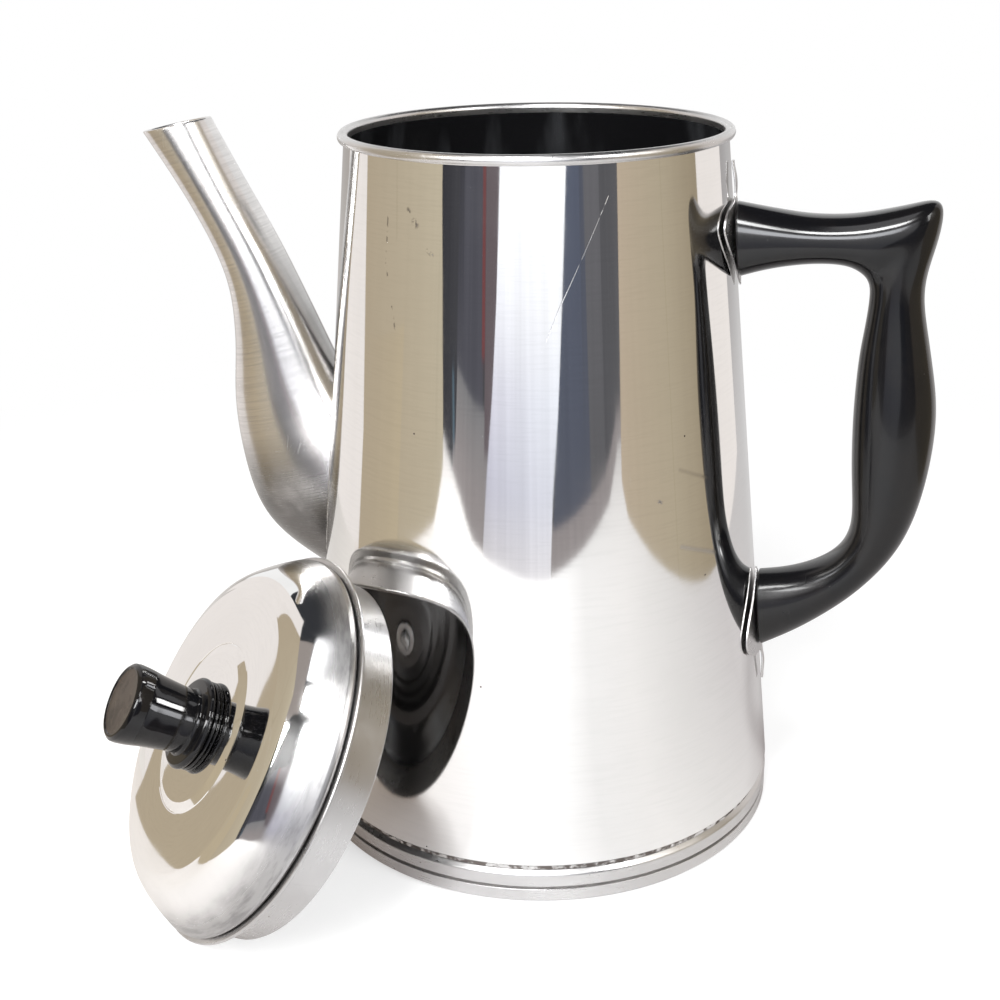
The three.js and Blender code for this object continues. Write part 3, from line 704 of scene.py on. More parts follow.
@finish("Polished aluminium")
def polished_sheet(spot, on_lid, tones):
    """Mirror-polished spun aluminium: wheel lines round it, soft marks, scratches and a few specks. The
    lid is worn matt towards its edge, where its colour is also painted darker as shade. The wall has worn
    places and a painted shadow line over the base."""
    lines, _ = turned_grain(spot, Around=5.0, Across=1300.0)
    marks = handling(spot, Scale=34.0)
    hairs = hairlines(spot, Scale=55.0, Width=0.005, Rarity=0.64)
    dirt = specks(spot, Scale=300.0, Size=0.07, Rarity=0.985)
    height = spot.parts()[2]
    tone = mix(marks * 0.5, tones.polished, dim(tones.polished, 0.955))
    tone = mix(lines.ramp(0.44, 0.66), tone, dim(tones.polished, 0.97))
    rest = {"Metallic": 1.0}
    if on_lid:
        scratch = 0.0
        # the lid is rougher towards its edge, and its colour there is painted darker as shade
        matt = (marks * 0.0011 + height).ramp(0.0125, 0.0035)
        tone = mix(matt, tone, mix(lines.ramp(0.42, 0.62), dim(tones.satin, 0.64), dim(tones.satin, 0.46)))
        wheel = lines * (matt * 1.2e-5 + 1.0e-6)
    else:
        matt = 0.0
        wheel = lines * 1.0e-6
        scratch, dirt = worn_places(spot, dirt)
        # painted shade: a dark line just over the base, in the set-back under the cone, broken up by noise
        # and added to the dirt mask
        painted_shadow_breakup = noise(spot, 420.0, 4.0).ramp(0.64, 0.46, 0.25, 0.95)
        dirt = dirt.top(height.ramp(seam_height() + 2.2 * MM, seam_height() + 1.2 * MM) * painted_shadow_breakup)
        around = put(spot.tree, "Tangent", settings={"direction_type": "RADIAL", "axis": "Z"})[0]
        rest.update({"Tangent": around, "Anisotropic": 0.7, "Anisotropic Rotation": 0.25})
    # darkens the specks and the wall's dark marks; on the wall it also paints the shadow line over the base
    tone = mix(dirt, tone, (0.12, 0.10, 0.09))
    rough = lines * 0.03 + (tones.polish - 0.015)
    for mask, more in ((marks, 0.03), (hairs, 0.08), (matt, 0.26), (scratch, 0.3), (dirt, 0.5)):
        rough = rough + mask * more
    cut = (hairs * 0.2).top(scratch) * -6e-6
    return tone, rough, (waves(spot, Scale=30.0, Rise=2.4e-5), wheel, cut), rest


def worn_places(spot, dirt):
    """The wall's long scratch in two lengths, and the dirt with the wall's dark marks added. Each runs
    from an angle (radians) and height (m) to another, with its width (m), how finely and how much it is
    broken, and for a mark how dark it is."""
    scratch = stroke(spot, Start=(-0.99, 0.199, 0), End=(-1.225, 0.172, 0), Width=0.00016).top(
        stroke(spot, Start=(-1.225, 0.172, 0), End=(-1.31, 0.160, 0), Width=0.00013, Gaps=0.42))
    for start, end, width, breaks, gaps, depth in (
        ((-1.967, 0.1950, 0), (-1.958, 0.1944, 0), 0.0008, 900.0, 0.46, 0.75),
        ((-1.927, 0.1920, 0), (-1.917, 0.1913, 0), 0.0014, 900.0, 0.47, 0.85),
        ((-1.850, 0.1850, 0), (-1.825, 0.1840, 0), 0.0008, 900.0, 0.46, 0.8),
        ((-2.099, 0.1922, 0), (-2.104, 0.1800, 0), 0.0005, 500.0, 0.50, 0.7),
        ((-2.104, 0.1800, 0), (-2.030, 0.1629, 0), 0.0005, 600.0, 0.52, 0.7),
        ((-0.786, 0.1167, 0), (-0.772, 0.1162, 0), 0.0007, 1500.0, 0.42, 0.9),
        ((-0.662, 0.1239, 0), (-0.481, 0.1187, 0), 0.0010, 160.0, 0.30, 0.22),
        ((-0.669, 0.1019, 0), (-0.456, 0.0963, 0), 0.0012, 160.0, 0.30, 0.30),
    ):
        dirt = dirt.top(stroke(spot, Start=start, End=end, Width=width, Breaks=breaks, Gaps=gaps) * depth)
    return scratch, dirt


@finish("Satin aluminium")
def satin_metal(spot, on_lid, tones):
    """Turned aluminium that was brushed and has worn smooth. The lid's copy is painted darker, as shade."""
    lines, drift = turned_grain(spot, Around=9.0, Across=2600.0)
    marks = handling(spot, Scale=48.0)
    hairs = hairlines(spot, Scale=120.0, Width=0.012, Rarity=0.55)
    # painted shade: the lid's copy of this metal is darker and varies more than the pot's
    base, shade = (dim(tones.satin, 0.80), 0.82) if on_lid else (tones.satin, 0.93)
    tone = mix(drift.ramp(0.35, 0.7), base, dim(base, shade))
    tone = mix(marks * 0.35, tone, dim(base, 0.86))
    tone = mix(specks(spot, Scale=420.0, Size=0.09, Rarity=0.97), tone, (0.22, 0.20, 0.18))
    rough = lines * 0.14 + (tones.satin_roughness - 0.05) + marks * 0.07 + hairs * 0.15
    heights = waves(spot, Scale=55.0, Rise=1.6e-5), lines * 5e-6, hairs * -8e-6
    return tone, rough, heights, {"Metallic": 1.0}


@finish("Brushed aluminium")
def brushed_spout(spot, on_lid, tones):
    """Hand-brushed aluminium, half polished, with short strokes across the spout. Painted shade darkens it
    on the belly, on the side towards the pot and round the root where it meets the wall."""
    strokes = straight_grain(spot, Angle=0.28, Along=34.0, Across=1500.0)
    fine = straight_grain(spot, Angle=-1.15, Along=60.0, Across=2300.0)
    marks = handling(spot, Scale=44.0)
    hairs = hairlines(spot, Scale=110.0, Width=0.008, Rarity=0.60)
    height = spot.parts()[2]
    facing_x, _, facing_z = put(spot.tree, "TexCoord")["Normal"].parts()
    # painted shade on the side that faces the pot, high on the spout
    inner_side_shade = facing_x.ramp(0.45, 0.85) * height.ramp(0.185, 0.150)
    # painted shade low on the spout, less where it faces steeply down
    belly = height.ramp(0.126, 0.092) * facing_z.ramp(-0.75, -0.35)
    # painted shade round the root, where the spout meets the wall
    from_root = spot.vector("DISTANCE", (-0.078, -0.017, 0.078))["Value"]
    root = (marks * 0.006 + from_root).ramp(0.040, 0.016)
    tone = mix(strokes.ramp(0.40, 0.66), dim(tones.brushed, 1.05), dim(tones.brushed, 0.90))
    # the belly, the side towards the pot and the root get painted shade; the handling marks are real
    for mask, shade in (
        (belly * 0.75, 0.46), (inner_side_shade * 0.8, 0.42), (root * 0.8, 0.17), (marks * 0.4, 0.80),
    ):
        tone = mix(mask, tone, dim(tones.brushed, shade))
    rough = strokes * 0.14 + 0.15 + belly * 0.06 + hairs * 0.10
    heights = waves(spot, Scale=60.0, Rise=3.0e-5), strokes * 8e-6, fine * 3e-6, hairs * -5e-6
    return tone, rough, heights, {"Metallic": 1.0}


@finish("Black Bakelite")
def bakelite(spot, on_lid, tones):
    """Black moulded phenolic with hair scratches and dust. The knob has a deep gloss. The handle is duller,
    most of all low on the grip."""
    marks = handling(spot, Scale=52.0)
    hairs = hairlines(spot, Scale=140.0, Width=0.008, Rarity=0.60)
    dust = specks(spot, Scale=520.0, Size=0.06, Rarity=0.96)
    tone = mix(marks * 0.5, tones.bakelite, (0.0075, 0.0062, 0.0056))
    tone = mix(dust * 0.25, tone, (0.14, 0.13, 0.12))
    rest = {"IOR": 1.6, "Specular IOR Level": 0.26}
    if on_lid:
        rough, held = 0.05, 0.0
    else:
        rough = 0.14
        height = spot.parts()[2]
        held = height.ramp(0.150, 0.110) * height.ramp(0.050, 0.075)
        rest.update({"Coat Weight": 0.15, "Coat Roughness": 0.05})
    rough = marks * 0.06 + rough + held * 0.06 + hairs * 0.10 + dust * 0.5
    heights = waves(spot, Scale=70.0, Rise=3.0e-5), waves(spot, Scale=900.0, Rise=8e-7), hairs * -2e-6
    return tone, rough, heights, rest


@finish("Worn Bakelite")
def worn_face(spot, on_lid, tones):
    """The knob's face, where heat and fingers have taken the gloss off the Bakelite and browned it."""
    patches = handling(spot, Scale=150.0)
    hairs = hairlines(spot, Scale=300.0, Width=0.02, Rarity=0.48)
    dust = specks(spot, Scale=900.0, Size=0.12, Rarity=0.90)
    tone = mix(patches, dim(tones.worn_bakelite, 0.6), dim(tones.worn_bakelite, 0.3))
    tone = mix(hairs.top(dust) * 0.5, tone, (0.16, 0.12, 0.09))
    heights = waves(spot, Scale=1400.0, Rise=1.2e-5), hairs * -1.2e-5
    return tone, patches * 0.15 + 0.42, heights, {"IOR": 1.6}


@finish("Dark lining")
def dark_lining(spot, on_lid, tones):
    """Glossy dark lining inside the pot, with turned rings under it and painted sheen in streaks below the
    mouth. Inside the lid it is painted lighter, as lit, and has broad spun rings."""
    lines, _ = turned_grain(spot, Around=14.0, Across=420.0)
    marks = handling(spot, Scale=30.0)
    chips = specks(spot, Scale=260.0, Size=0.10, Rarity=0.97)
    tone = mix(marks * 0.6, tones.lining, (0.0085, 0.0085, 0.0090))
    tone = mix(chips * 0.5, tone, (0.07, 0.065, 0.06))
    heights = [waves(spot, Scale=45.0, Rise=5e-5), lines * 1.5e-5]
    if on_lid:
        # painted light: the lid's copy of the lining is lighter than the pot's
        tone = mix(0.6, tone, (0.022, 0.021, 0.022))
        radius = spot.vector("MULTIPLY", (1.0, 1.0, 0.0))[0].vector("LENGTH")["Value"]
        heights.append((radius * (2 * math.pi / LID_RING_PITCH)).maths("SINE") * 6e-5)
    else:
        # painted sheen: pale vertical streaks high inside the pot, below the mouth
        streaks = noise(spot.vector("MULTIPLY", (75.0, 75.0, 14.0))[0], 1.0, 3.0)
        worn = streaks.ramp(0.50, 0.72) * spot.parts()[2].ramp(0.176, 0.204)
        tone = mix(worn * 0.45, tone, (0.050, 0.052, 0.056))
    rough = marks * 0.10 + 0.13 + lines * 0.10
    return tone, rough, heights, {"IOR": 1.55, "Specular IOR Level": 0.75 if on_lid else 0.60}


@finish("Solder")
def solder(spot, on_lid, tones):
    """Grey, slightly lumpy solder."""
    patches = handling(spot, Scale=240.0)
    tone = mix(patches, dim(tones.satin, 0.85), dim(tones.satin, 0.42))
    return tone, patches * 0.2 + 0.32, [waves(spot, Scale=700.0, Rise=1.2e-4)], {"Metallic": 1.0}


@finish("Zinc-plated steel")
def zinc_plate(spot, on_lid, tones):
    """Zinc-plated steel of screws and washers."""
    lines, _ = turned_grain(spot, Around=20.0, Across=5000.0)
    tone = mix(handling(spot, Scale=260.0), tones.zinc, dim(tones.zinc, 0.75))
    return tone, lines * 0.2 + 0.22, [lines * 4e-6], {"Metallic": 1.0}


@finish("Turned brass")
def turned_brass(spot, on_lid, tones):
    """Turned brass of the threaded inserts."""
    patches = handling(spot, Scale=300.0)
    tone = mix(patches, tones.brass, dim(tones.brass, 0.7))
    hairs = hairlines(spot, Scale=500.0, Width=0.03, Rarity=0.5)
    return tone, patches * 0.12 + 0.25, [hairs * -6e-6], {"Metallic": 1.0}


# ---------------------------------------------------------------- the cone that everything is set on


def settings():
    return bpy.context.scene.coffee_pot


def cone_foot():
    """Height of the cone's lower end."""
    body = settings().body
    return seam_height() + body.neck


def seam_height():
    """Top of the rolled band of the base."""
    body = settings().body
    return body.base_foot + 0.6 * MM + body.base_band


def cone_slope():
    """How much the cone's radius grows per metre down."""
    body = settings().body
    return (body.foot_radius - body.mouth_radius) / (body.height - cone_foot())


def cone_angle():
    """Lean of the wall from upright."""
    return math.atan(cone_slope())


def cone_radius(height):
    """Outer radius of the wall at a height."""
    body = settings().body
    return body.mouth_radius + (body.height - height) * cone_slope()


def on_cone(angle, height, out):
    """A point on the cone, pushed out from its surface."""
    radius = cone_radius(height) + out / math.cos(cone_angle())
    return Vector((radius * math.cos(angle), radius * math.sin(angle), height))


def out_of_wall(height):
    """Turns Z square out of the wall at a height on the handle side."""
    return (Matrix.Translation((cone_radius(height), 0, height))
            @ Matrix.Rotation(math.pi / 2 - cone_angle(), 4, "Y"))


def screw_hole():
    """Radius of the holes that a handle screw passes through."""
    handle = settings().handle
    return handle.screw_radius + handle.hole_clearance


# ---------------------------------------------------------------- wall and base


class MESH_OT_coffee_pot_wall(bpy.types.Operator):
    """Wall of the pot with its rolled rim, strainer holes and screw holes"""

    bl_idname = "mesh.coffee_pot_wall"
    bl_label = "Pot wall"

    def execute(self, context):
        body, spout, handle = settings().body, settings().spout, settings().handle
        bead = body.bead_radius
        low = seam_height() + body.clearance
        set_back = body.foot_radius - body.neck_depth
        rows, rim_steps, rim_start, rim_turn = 18, 24, -42, 222
        base = cone_foot()
        top = body.height - 2 * bead
        heights = [base + (top - base) * i / rows for i in range(1, rows)]
        outside = rounded([
            (set_back, low, 0), (set_back, base - 0.9 * MM, 0.5 * MM),
            (cone_radius(base), base, 0.7 * MM), (cone_radius(base + 6 * MM), base + 6 * MM, 0),
        ])
        outside += [(cone_radius(h), h) for h in heights]
        middle = body.mouth_radius - body.wall + bead
        rim = []
        for i in range(rim_steps + 1):
            angle = math.radians(rim_start + rim_turn * i / rim_steps)
            rim.append((middle + bead * math.cos(angle), body.height - bead + bead * math.sin(angle)))
        inside = [(cone_radius(top) - body.wall, top)]
        inside += [(cone_radius(h) - body.wall, h) for h in reversed(heights)]
        inside += [(cone_radius(base) - body.wall, base), (set_back - body.wall, low)]
        profile = outside + [(cone_radius(top) + 0.02 * MM, top)] + rim + inside
        finishes = [polished_sheet(), dark_lining(), satin_metal()]
        piece = turned("pot_wall", profile, AROUND, finishes, closes=True)
        cutters = [place(pin(screw_hole(), -4 * MM, 3 * MM, BORE_SIDES), out_of_wall(height))
                   for height in (handle.top_height, handle.low_height)]
        for across, up in self.strainer(spout):
            hole = pin(spout.hole_radius, body.foot_radius / 2, body.foot_radius + 2 * spout.hole_pitch,
                       HOLE_SIDES)
            towards_spout = Matrix.Rotation(-math.pi / 2, 4, "Y")
            middle_of_hole = Matrix.Translation((0, across, spout.root_height + up))
            cutters.append(place(hole, middle_of_hole @ towards_spout))
        cut_away(piece, cutters)

        def pick(spot, normal):
            """Satin rim, lining where a face looks inwards, and polish elsewhere."""
            if spot.z > top - 0.1 * MM:
                return 2
            return 1 if Vector((spot.x, spot.y, 0)).normalized().dot(normal) < -0.5 else 0

        faced(piece, pick)
        fitted(piece, "pot", "polished_aluminium", "body_shell")
        return {"FINISHED"}

    @staticmethod
    def strainer(spout):
        """Middles of the holes: one, then rings of 6, 12 and so on round it."""
        yield 0.0, 0.0
        for ring in range(1, spout.hole_rings + 1):
            for i in range(6 * ring):
                angle = i * math.pi / (3 * ring)
                reach = ring * spout.hole_pitch
                yield reach * math.cos(angle), reach * math.sin(angle)


class MESH_OT_coffee_pot_base(bpy.types.Operator):
    """Base of the pot: foot, groove, rolled band and the floor inside"""

    bl_idname = "mesh.coffee_pot_base"
    bl_label = "Pot base"

    def execute(self, context):
        body = settings().body
        foot = body.foot_radius + body.base_proud
        seam = seam_height()
        groove = foot - body.base_groove
        groove_top = body.base_foot + 0.6 * MM
        band = groove_top + body.base_band / 2
        spigot = body.foot_radius - body.neck_depth - body.wall - body.clearance
        well = spigot - body.spigot_wall
        top = seam + body.spigot
        profile = rounded([
            (0, 0, 0),
            (foot - 0.7 * MM, 0, 0.3 * MM),
            (foot, 0.7 * MM, 0.5 * MM),
            (foot, body.base_foot - 0.15 * MM, 0.15 * MM),
            (groove, body.base_foot, 0.15 * MM),
            (groove, groove_top, 0.15 * MM),
            (foot - 0.15 * MM, groove_top + 0.2 * MM, 0.2 * MM),
            (foot, band, 2.0 * MM),
            (foot, seam - 1.2 * MM, 1.2 * MM),
            (foot - 1.4 * MM, seam, 0.4 * MM),
            (spigot, seam, 0),
            (spigot, top, 0.4 * MM),
            (well, top, 0.4 * MM),
            (well, body.floor + 2 * MM, 1.5 * MM),
            (well - 2 * MM, body.floor, 1.5 * MM),
            (well - 9 * MM, body.floor, 0),
            (0, body.floor, 0),
        ], 7)
        piece = turned("pot_base", profile, AROUND, [satin_metal(), dark_lining()], sharp=SOFT_CREASE)
        faced(piece, lambda spot, normal: 1 if spot.z > body.floor - 0.1 * MM
              and math.hypot(spot.x, spot.y) < spigot - 0.2 * MM else 0)
        fitted(piece, "pot", "satin_aluminium", "base_pan")
        return {"FINISHED"}


# ---------------------------------------------------------------- spout


class SpoutForm:
    """The spout as a pair of edges, inner and outer, and a width, from the lip to the root."""

    STEPS = 480
    HALVINGS = 36

    def __init__(self):
        body, spout = settings().body, settings().spout
        tip_height = body.height - spout.tip_drop
        half = spout.tip_depth / 2
        root_top = spout.root_height + spout.root_depth / 2
        root_low = spout.root_height - spout.root_depth / 2
        span = tip_height - root_top
        reach, belly, rake = spout.tip_reach, spout.belly_reach, spout.tip_rake
        inner = [
            (reach - half, tip_height + rake / 2),
            (reach - half - 0.12 * span, tip_height - 0.21 * span),
            (reach - half - 0.25 * span, tip_height - 0.45 * span),
            (reach - half - 0.375 * span, tip_height - 0.71 * span),
            (cone_radius(root_top) - 0.6 * MM, root_top),
            (cone_radius(root_top) - 9 * MM, root_top - 0.16 * spout.root_depth),
            (cone_radius(root_top) - 16 * MM, root_top - 0.36 * spout.root_depth),
        ]
        outer = [
            (reach + half, tip_height - rake / 2),
            (belly + 9.2 * MM, tip_height - 0.3 * span),
            (belly - 0.6 * MM, tip_height - 0.57 * span),
            (belly - 1.9 * MM, tip_height - 0.82 * span),
            (belly, root_top - 0.2 * spout.root_depth),
            (belly - 8 * MM, root_low + 0.27 * spout.root_depth),
            (cone_radius(root_low) - 2 * MM, root_low - 0.01 * spout.root_depth),
        ]
        widths = [(w,) for w in (
            spout.tip_width, spout.neck_width - 1.2 * MM, spout.neck_width, spout.neck_width + 2 * MM,
            spout.root_width - 8 * MM, spout.root_width, spout.root_width,
        )]
        self.inner = flowing(inner, self.STEPS, 0.035)
        self.outer = flowing(outer, self.STEPS, 0.035)
        self.widths = flowing(widths, self.STEPS, 0.05)

    def skin(self, t, angle, inset):
        """A point of the skin or, with an inset, of its inside: t down the spout and an angle round it."""
        near = Vector(at(self.inner, t))
        far = Vector(at(self.outer, t))
        half = (far - near) / 2
        middle = (far + near) / 2
        part = (1 - inset / half.length) * math.cos(angle)
        width = at(self.widths, t)[0] / 2 - inset
        return Vector((-(middle.x + half.x * part), width * math.sin(angle), middle.y + half.y * part))

    def end(self, angle, inset, gap):
        """How far along a line of the skin runs before it comes within a gap of the cone."""
        low, high = 0.3, 1.0
        for _ in range(self.HALVINGS):
            middle = (low + high) / 2
            p = self.skin(middle, angle, inset)
            clear = (math.hypot(p.x, p.y) - cone_radius(p.z)) * math.cos(cone_angle())
            if clear > gap:
                low = middle
            else:
                high = middle
        return low


class MESH_OT_coffee_pot_spout(bpy.types.Operator):
    """Swept spout with its rolled lip, and the bead of solder round its root"""

    bl_idname = "mesh.coffee_pot_spout"
    bl_label = "Spout"

    def execute(self, context):
        body, spout = settings().body, settings().spout
        form = SpoutForm()
        around, steps, lip_steps, lip_rings = 144, 170, 10, 6
        angles = turns(around)
        lip = 0.004  # share of the spout's length that the rolled lip takes

        def lines(inset):
            result = []
            for angle in angles:
                end = form.end(angle, inset, body.clearance)
                result.append([form.skin(lip + (end - lip) * j / steps, angle, inset)
                               for j in range(steps + 1)])
            return [[line[j] for line in result] for j in range(steps + 1)]

        outer = lines(0.0)
        inner = lines(spout.wall)
        roll = []
        for i in range(1, lip_steps):
            turn_angle = math.pi * i / lip_steps
            inset = spout.wall / 2 * (1 + math.cos(turn_angle))
            t = lip * (1 - math.sin(turn_angle))
            roll.append([form.skin(t, angle, inset) for angle in angles])
        rings = outer + list(reversed(inner)) + roll
        piece = skinned("spout_skin", rings, [brushed_spout(), dark_lining()], closes=True)
        inside_from = len(outer) * around
        inside_to = inside_from + (len(inner) - lip_rings) * around
        for face in piece.data.polygons:
            lined = inside_from <= min(face.vertices) and max(face.vertices) < inside_to
            face.material_index = 1 if lined else 0
        fitted(piece, "pot", "brushed_aluminium", "spout")
        self.bead(form)
        return {"FINISHED"}

    @staticmethod
    def bead(form):
        """A slightly uneven bead along the root of the spout."""
        spout = settings().spout
        around, sides, flatness = 260, 12, 0.7
        inset, gap = 0.15 * MM, 0.10 * MM
        angles = turns(around)
        path = [form.skin(form.end(angle, inset, gap), angle, inset) for angle in angles]
        rings = []
        for k, spot in enumerate(path):
            run = (path[(k + 1) % around] - path[k - 1]).normalized()
            flat = Vector((spot.x, spot.y, 0)).normalized()
            out = Vector((flat.x * math.cos(cone_angle()), flat.y * math.cos(cone_angle()),
                          math.sin(cone_angle())))
            side = run.cross(out).normalized()
            up = side.cross(run).normalized()
            swell = 1 + 0.16 * math.sin(23 * angles[k]) + 0.10 * math.sin(41 * angles[k] + 1.3)
            radius = spout.weld * swell
            rings.append([
                spot + side * (radius * math.cos(angle)) + up * (flatness * radius * math.sin(angle))
                for angle in turns(sides)
            ])
        piece = skinned("spout_weld", rings, [solder()], closes=True, sharp=math.pi)
        fitted(piece, "pot", "brushed_aluminium")


# ---------------------------------------------------------------- handle, brackets and screws


def handle_out():
    """Ends of the handle, off the cone."""
    return 2 * settings().body.clearance + settings().handle.plate


class MESH_OT_coffee_pot_handle(bpy.types.Operator):
    """Moulded handle with its horn, bored for the threaded inserts"""

    bl_idname = "mesh.coffee_pot_handle"
    bl_label = "Handle"

    def execute(self, context):
        body, handle = settings().body, settings().handle
        sections = self.sections(handle)
        steps, around = 260, 80
        outer, inner = (flowing([
            (x + sign * depth / 2 * math.cos(math.radians(lean)),
             z + sign * depth / 2 * math.sin(math.radians(lean)))
            for x, z, depth, lean, _ in sections
        ], steps, 0.016) for sign in (1, -1))
        widths = flowing([(width,) for *_, width in sections], steps, 0.03)

        def squared(value):
            return math.copysign(abs(value) ** (2 / handle.squareness), value)

        def ring(t, shrink):
            far, near = Vector(at(outer, t)), Vector(at(inner, t))
            half, middle = (far - near) / 2, (far + near) / 2
            half *= 1 - shrink / half.length
            width = at(widths, t)[0] / 2 - shrink
            points = []
            for k in range(around):
                angle = 2 * math.pi * (k + 0.5) / around
                part = squared(math.cos(angle))
                points.append((middle.x + half.x * part, width * squared(math.sin(angle)),
                               middle.y + half.y * part))
            return points

        edge = 0.0022  # share of the length over which each end is rounded
        rings = [ring(0, 0.5 * MM), ring(0.3 * edge, 0.18 * MM), ring(edge, 0.0)]
        rings += [ring(edge + (1 - 2 * edge) * j / steps, 0.0) for j in range(1, steps)]
        rings += [ring(1 - edge, 0.0), ring(1 - 0.3 * edge, 0.18 * MM), ring(1, 0.5 * MM)]
        piece = skinned("handle_grip", rings, [bakelite()], sharp=SOFT_CREASE)
        bore = handle.insert_radius + body.clearance
        end = max(handle_out() + handle.insert_length + 2 * body.clearance,
                  handle.screw_length + body.clearance)
        cutters = [place(pin(bore, handle_out() - 2 * MM, end, BORE_SIDES), out_of_wall(height))
                   for height in (handle.top_height, handle.low_height)]
        cut_away(piece, cutters, sharp=SOFT_CREASE)
        fitted(piece, "pot", "black_bakelite", "handle")
        return {"FINISHED"}

    @staticmethod
    def sections(handle):
        """Middle, depth, lean and width of each cross-section, from the upper end to the lower."""
        lean = 90 + math.degrees(cone_angle())
        out = handle_out() / math.cos(cone_angle())
        top, low = handle.top_height, handle.low_height
        reach, width, grip = handle.reach, handle.width, handle.grip_width
        arm, horn, neck = handle.arm_depth, handle.horn_depth, handle.neck_depth
        palm, low_arm = handle.grip_depth, handle.low_arm_depth

        def in_from(distance):
            return reach - distance * MM

        def up(share_of):
            return low + share_of * (top - low)

        return [
            (cone_radius(top) + out, top, handle.top_depth, lean, width),
            (in_from(48), up(1.004), (handle.top_depth + arm) / 2 - 0.7 * MM, 91, width),
            (in_from(37.4), up(1.006), arm, 90, width),
            (in_from(27), up(1.008), arm + 0.9 * MM, 78, width),
            (in_from(18.6), up(1.009), (arm + horn) / 2, 62, width),
            (in_from(12.9), up(1.003), horn, 54, width - 2 * MM),
            (in_from(12.4), up(0.945), (horn + neck) / 2 + 4 * MM, 48, width - 3 * MM),
            (in_from(14.2), up(0.845), neck + 3.4 * MM, 36, width - 4 * MM),
            (in_from(13.2), up(0.725), (neck + palm) / 2 + 0.7 * MM, 14, grip - 3.4 * MM),
            (in_from(11.7), up(0.575), palm, 7, grip),
            (in_from(11.7), up(0.425), palm - 1.4 * MM, 2, grip),
            (in_from(12.7), up(0.288), low_arm + 0.2 * MM, -3, grip - 1 * MM),
            (in_from(16.2), up(0.198), low_arm - 3.0 * MM, -23, width - 1 * MM),
            (in_from(22.6), up(0.124), low_arm - 3.4 * MM, -57, width),
            (in_from(30.8), up(0.066), low_arm, -80, width),
            (in_from(38.8), up(0.027), (low_arm + handle.low_depth) / 2, -84, width),
            (cone_radius(low) + out, low, handle.low_depth, lean - 180, width),
        ]


class MESH_OT_coffee_pot_brackets(bpy.types.Operator):
    """Two pressed plates between the handle and the wall, with their tangs"""

    bl_idname = "mesh.coffee_pot_brackets"
    bl_label = "Brackets"

    def execute(self, context):
        handle = settings().handle
        self.plate("bracket_upper", handle.top_height, 1, handle.upper_width, handle.upper_reach,
                   "handle_bracket_upper")
        self.plate("bracket_lower", handle.low_height, -1, handle.lower_width, handle.lower_reach,
                   "handle_bracket_lower")
        return {"FINISHED"}

    @staticmethod
    def plate(name, height, away, width, reach, node):
        """One plate: a leaf round the screw and a narrow tang that bulges, bent to the wall."""
        body, handle = settings().body, settings().handle
        half_width, point, tang = width / 2, handle.plate_point, handle.tang_width / 2
        tang_root = reach + 1 * MM
        outline = flowing([
            (0, -point),
            (0.4 * half_width, -0.55 * point),
            (0.84 * half_width, 0.0),
            (half_width, 0.5 * reach),
            (0.7 * half_width, 0.88 * reach),
            (tang, tang_root),
            (tang, tang_root + handle.tang_length / 2),
            (0.8 * tang, tang_root + handle.tang_length),
        ], 110, 0.006)
        across, edge, bulge = 26, 0.12 * MM, 0.5 * MM
        far = body.clearance + handle.plate
        rings = []
        for side_reach, along_plate in outline:
            half = max(side_reach, 0.5 * MM)
            z = height + away * along_plate
            tang_part = min(max((along_plate - reach) / handle.tang_length, 0.0), 1.0)
            low = far - handle.plate_sheet + bulge * math.sin(math.pi * tang_part)
            high = low + handle.plate_sheet

            def row(out, trim):
                return [on_cone((-half + trim + 2 * (half - trim) * i / across) / cone_radius(z), z, out)
                        for i in range(across + 1)]

            rings.append(
                row(low, edge)
                + [on_cone(half / cone_radius(z), z, out) for out in (low + edge, high - edge)]
                + list(reversed(row(high, edge)))
                + [on_cone(-half / cone_radius(z), z, out) for out in (high - edge, low + edge)]
            )
        piece = skinned(name, rings, [satin_metal()])
        cut_away(piece, [place(pin(screw_hole(), 0, 3 * handle.plate, BORE_SIDES), out_of_wall(height))])
        fitted(piece, "pot", "satin_aluminium", node)


def washer_seat(height):
    """A flat washer stands off the inner wall by the height of the wall's curve."""
    body, handle = settings().body, settings().handle
    inside = cone_radius(height) - body.wall
    rise = inside - math.sqrt(inside ** 2 - handle.washer_radius ** 2)
    return -(body.wall + rise + body.clearance)


def flat_washer(name, hole, radius, low, high, lie=None):
    """A washer along Z with rounded edges."""
    edge = min(0.25 * MM, (high - low) / 3)
    profile = rounded([
        (hole, low, 0.1 * MM), (radius - edge, low, 0.1 * MM), (radius, low + edge, 0.15 * MM),
        (radius, high - edge, 0.15 * MM), (radius - edge, high, 0.1 * MM), (hole, high, 0.1 * MM),
        (hole, (low + high) / 2, 0),
    ], 3)
    return turned(name, profile, WASHER_SIDES, [zinc_plate(lie)], closes=True)


def slotted_screw(name, radius, under, end, head_radius, head_height, lie=None):
    """A pan-head screw along Z with its thread, the head below a height and the shank above it."""
    crown = head_height * 0.35
    slot_width, slot_depth = settings().handle.slot_width, settings().handle.slot_depth
    head = rounded([
        (0, under - head_height, 0),
        (head_radius * 0.55, under - head_height, 2.2 * MM),
        (head_radius * 0.88, under - head_height + crown * 0.5, 1.2 * MM),
        (head_radius, under - head_height + crown * 1.5, 0.8 * MM),
        (head_radius, under, 0.2 * MM),
        (radius, under, 0.1 * MM),
        (radius, under + 1.2 * MM, 0),
    ], 5)
    pitch, thread_depth = 0.7 * MM, 0.28 * MM
    thread = []
    height = under + 1.4 * MM
    while height < end - radius:
        thread += [(radius - thread_depth, height), (radius, height + pitch / 2)]
        height += pitch
    tip = [(radius - 0.2 * MM, end - radius * 0.8), (radius / 2, end), (0, end)]
    screw = turned(name, head + thread + tip, SCREW_SIDES, [zinc_plate(lie)])
    slot = block((slot_width, 2 * head_radius + 2 * MM, 2 * slot_depth), (0, 0, under - head_height))
    return cut_away(screw, [slot])


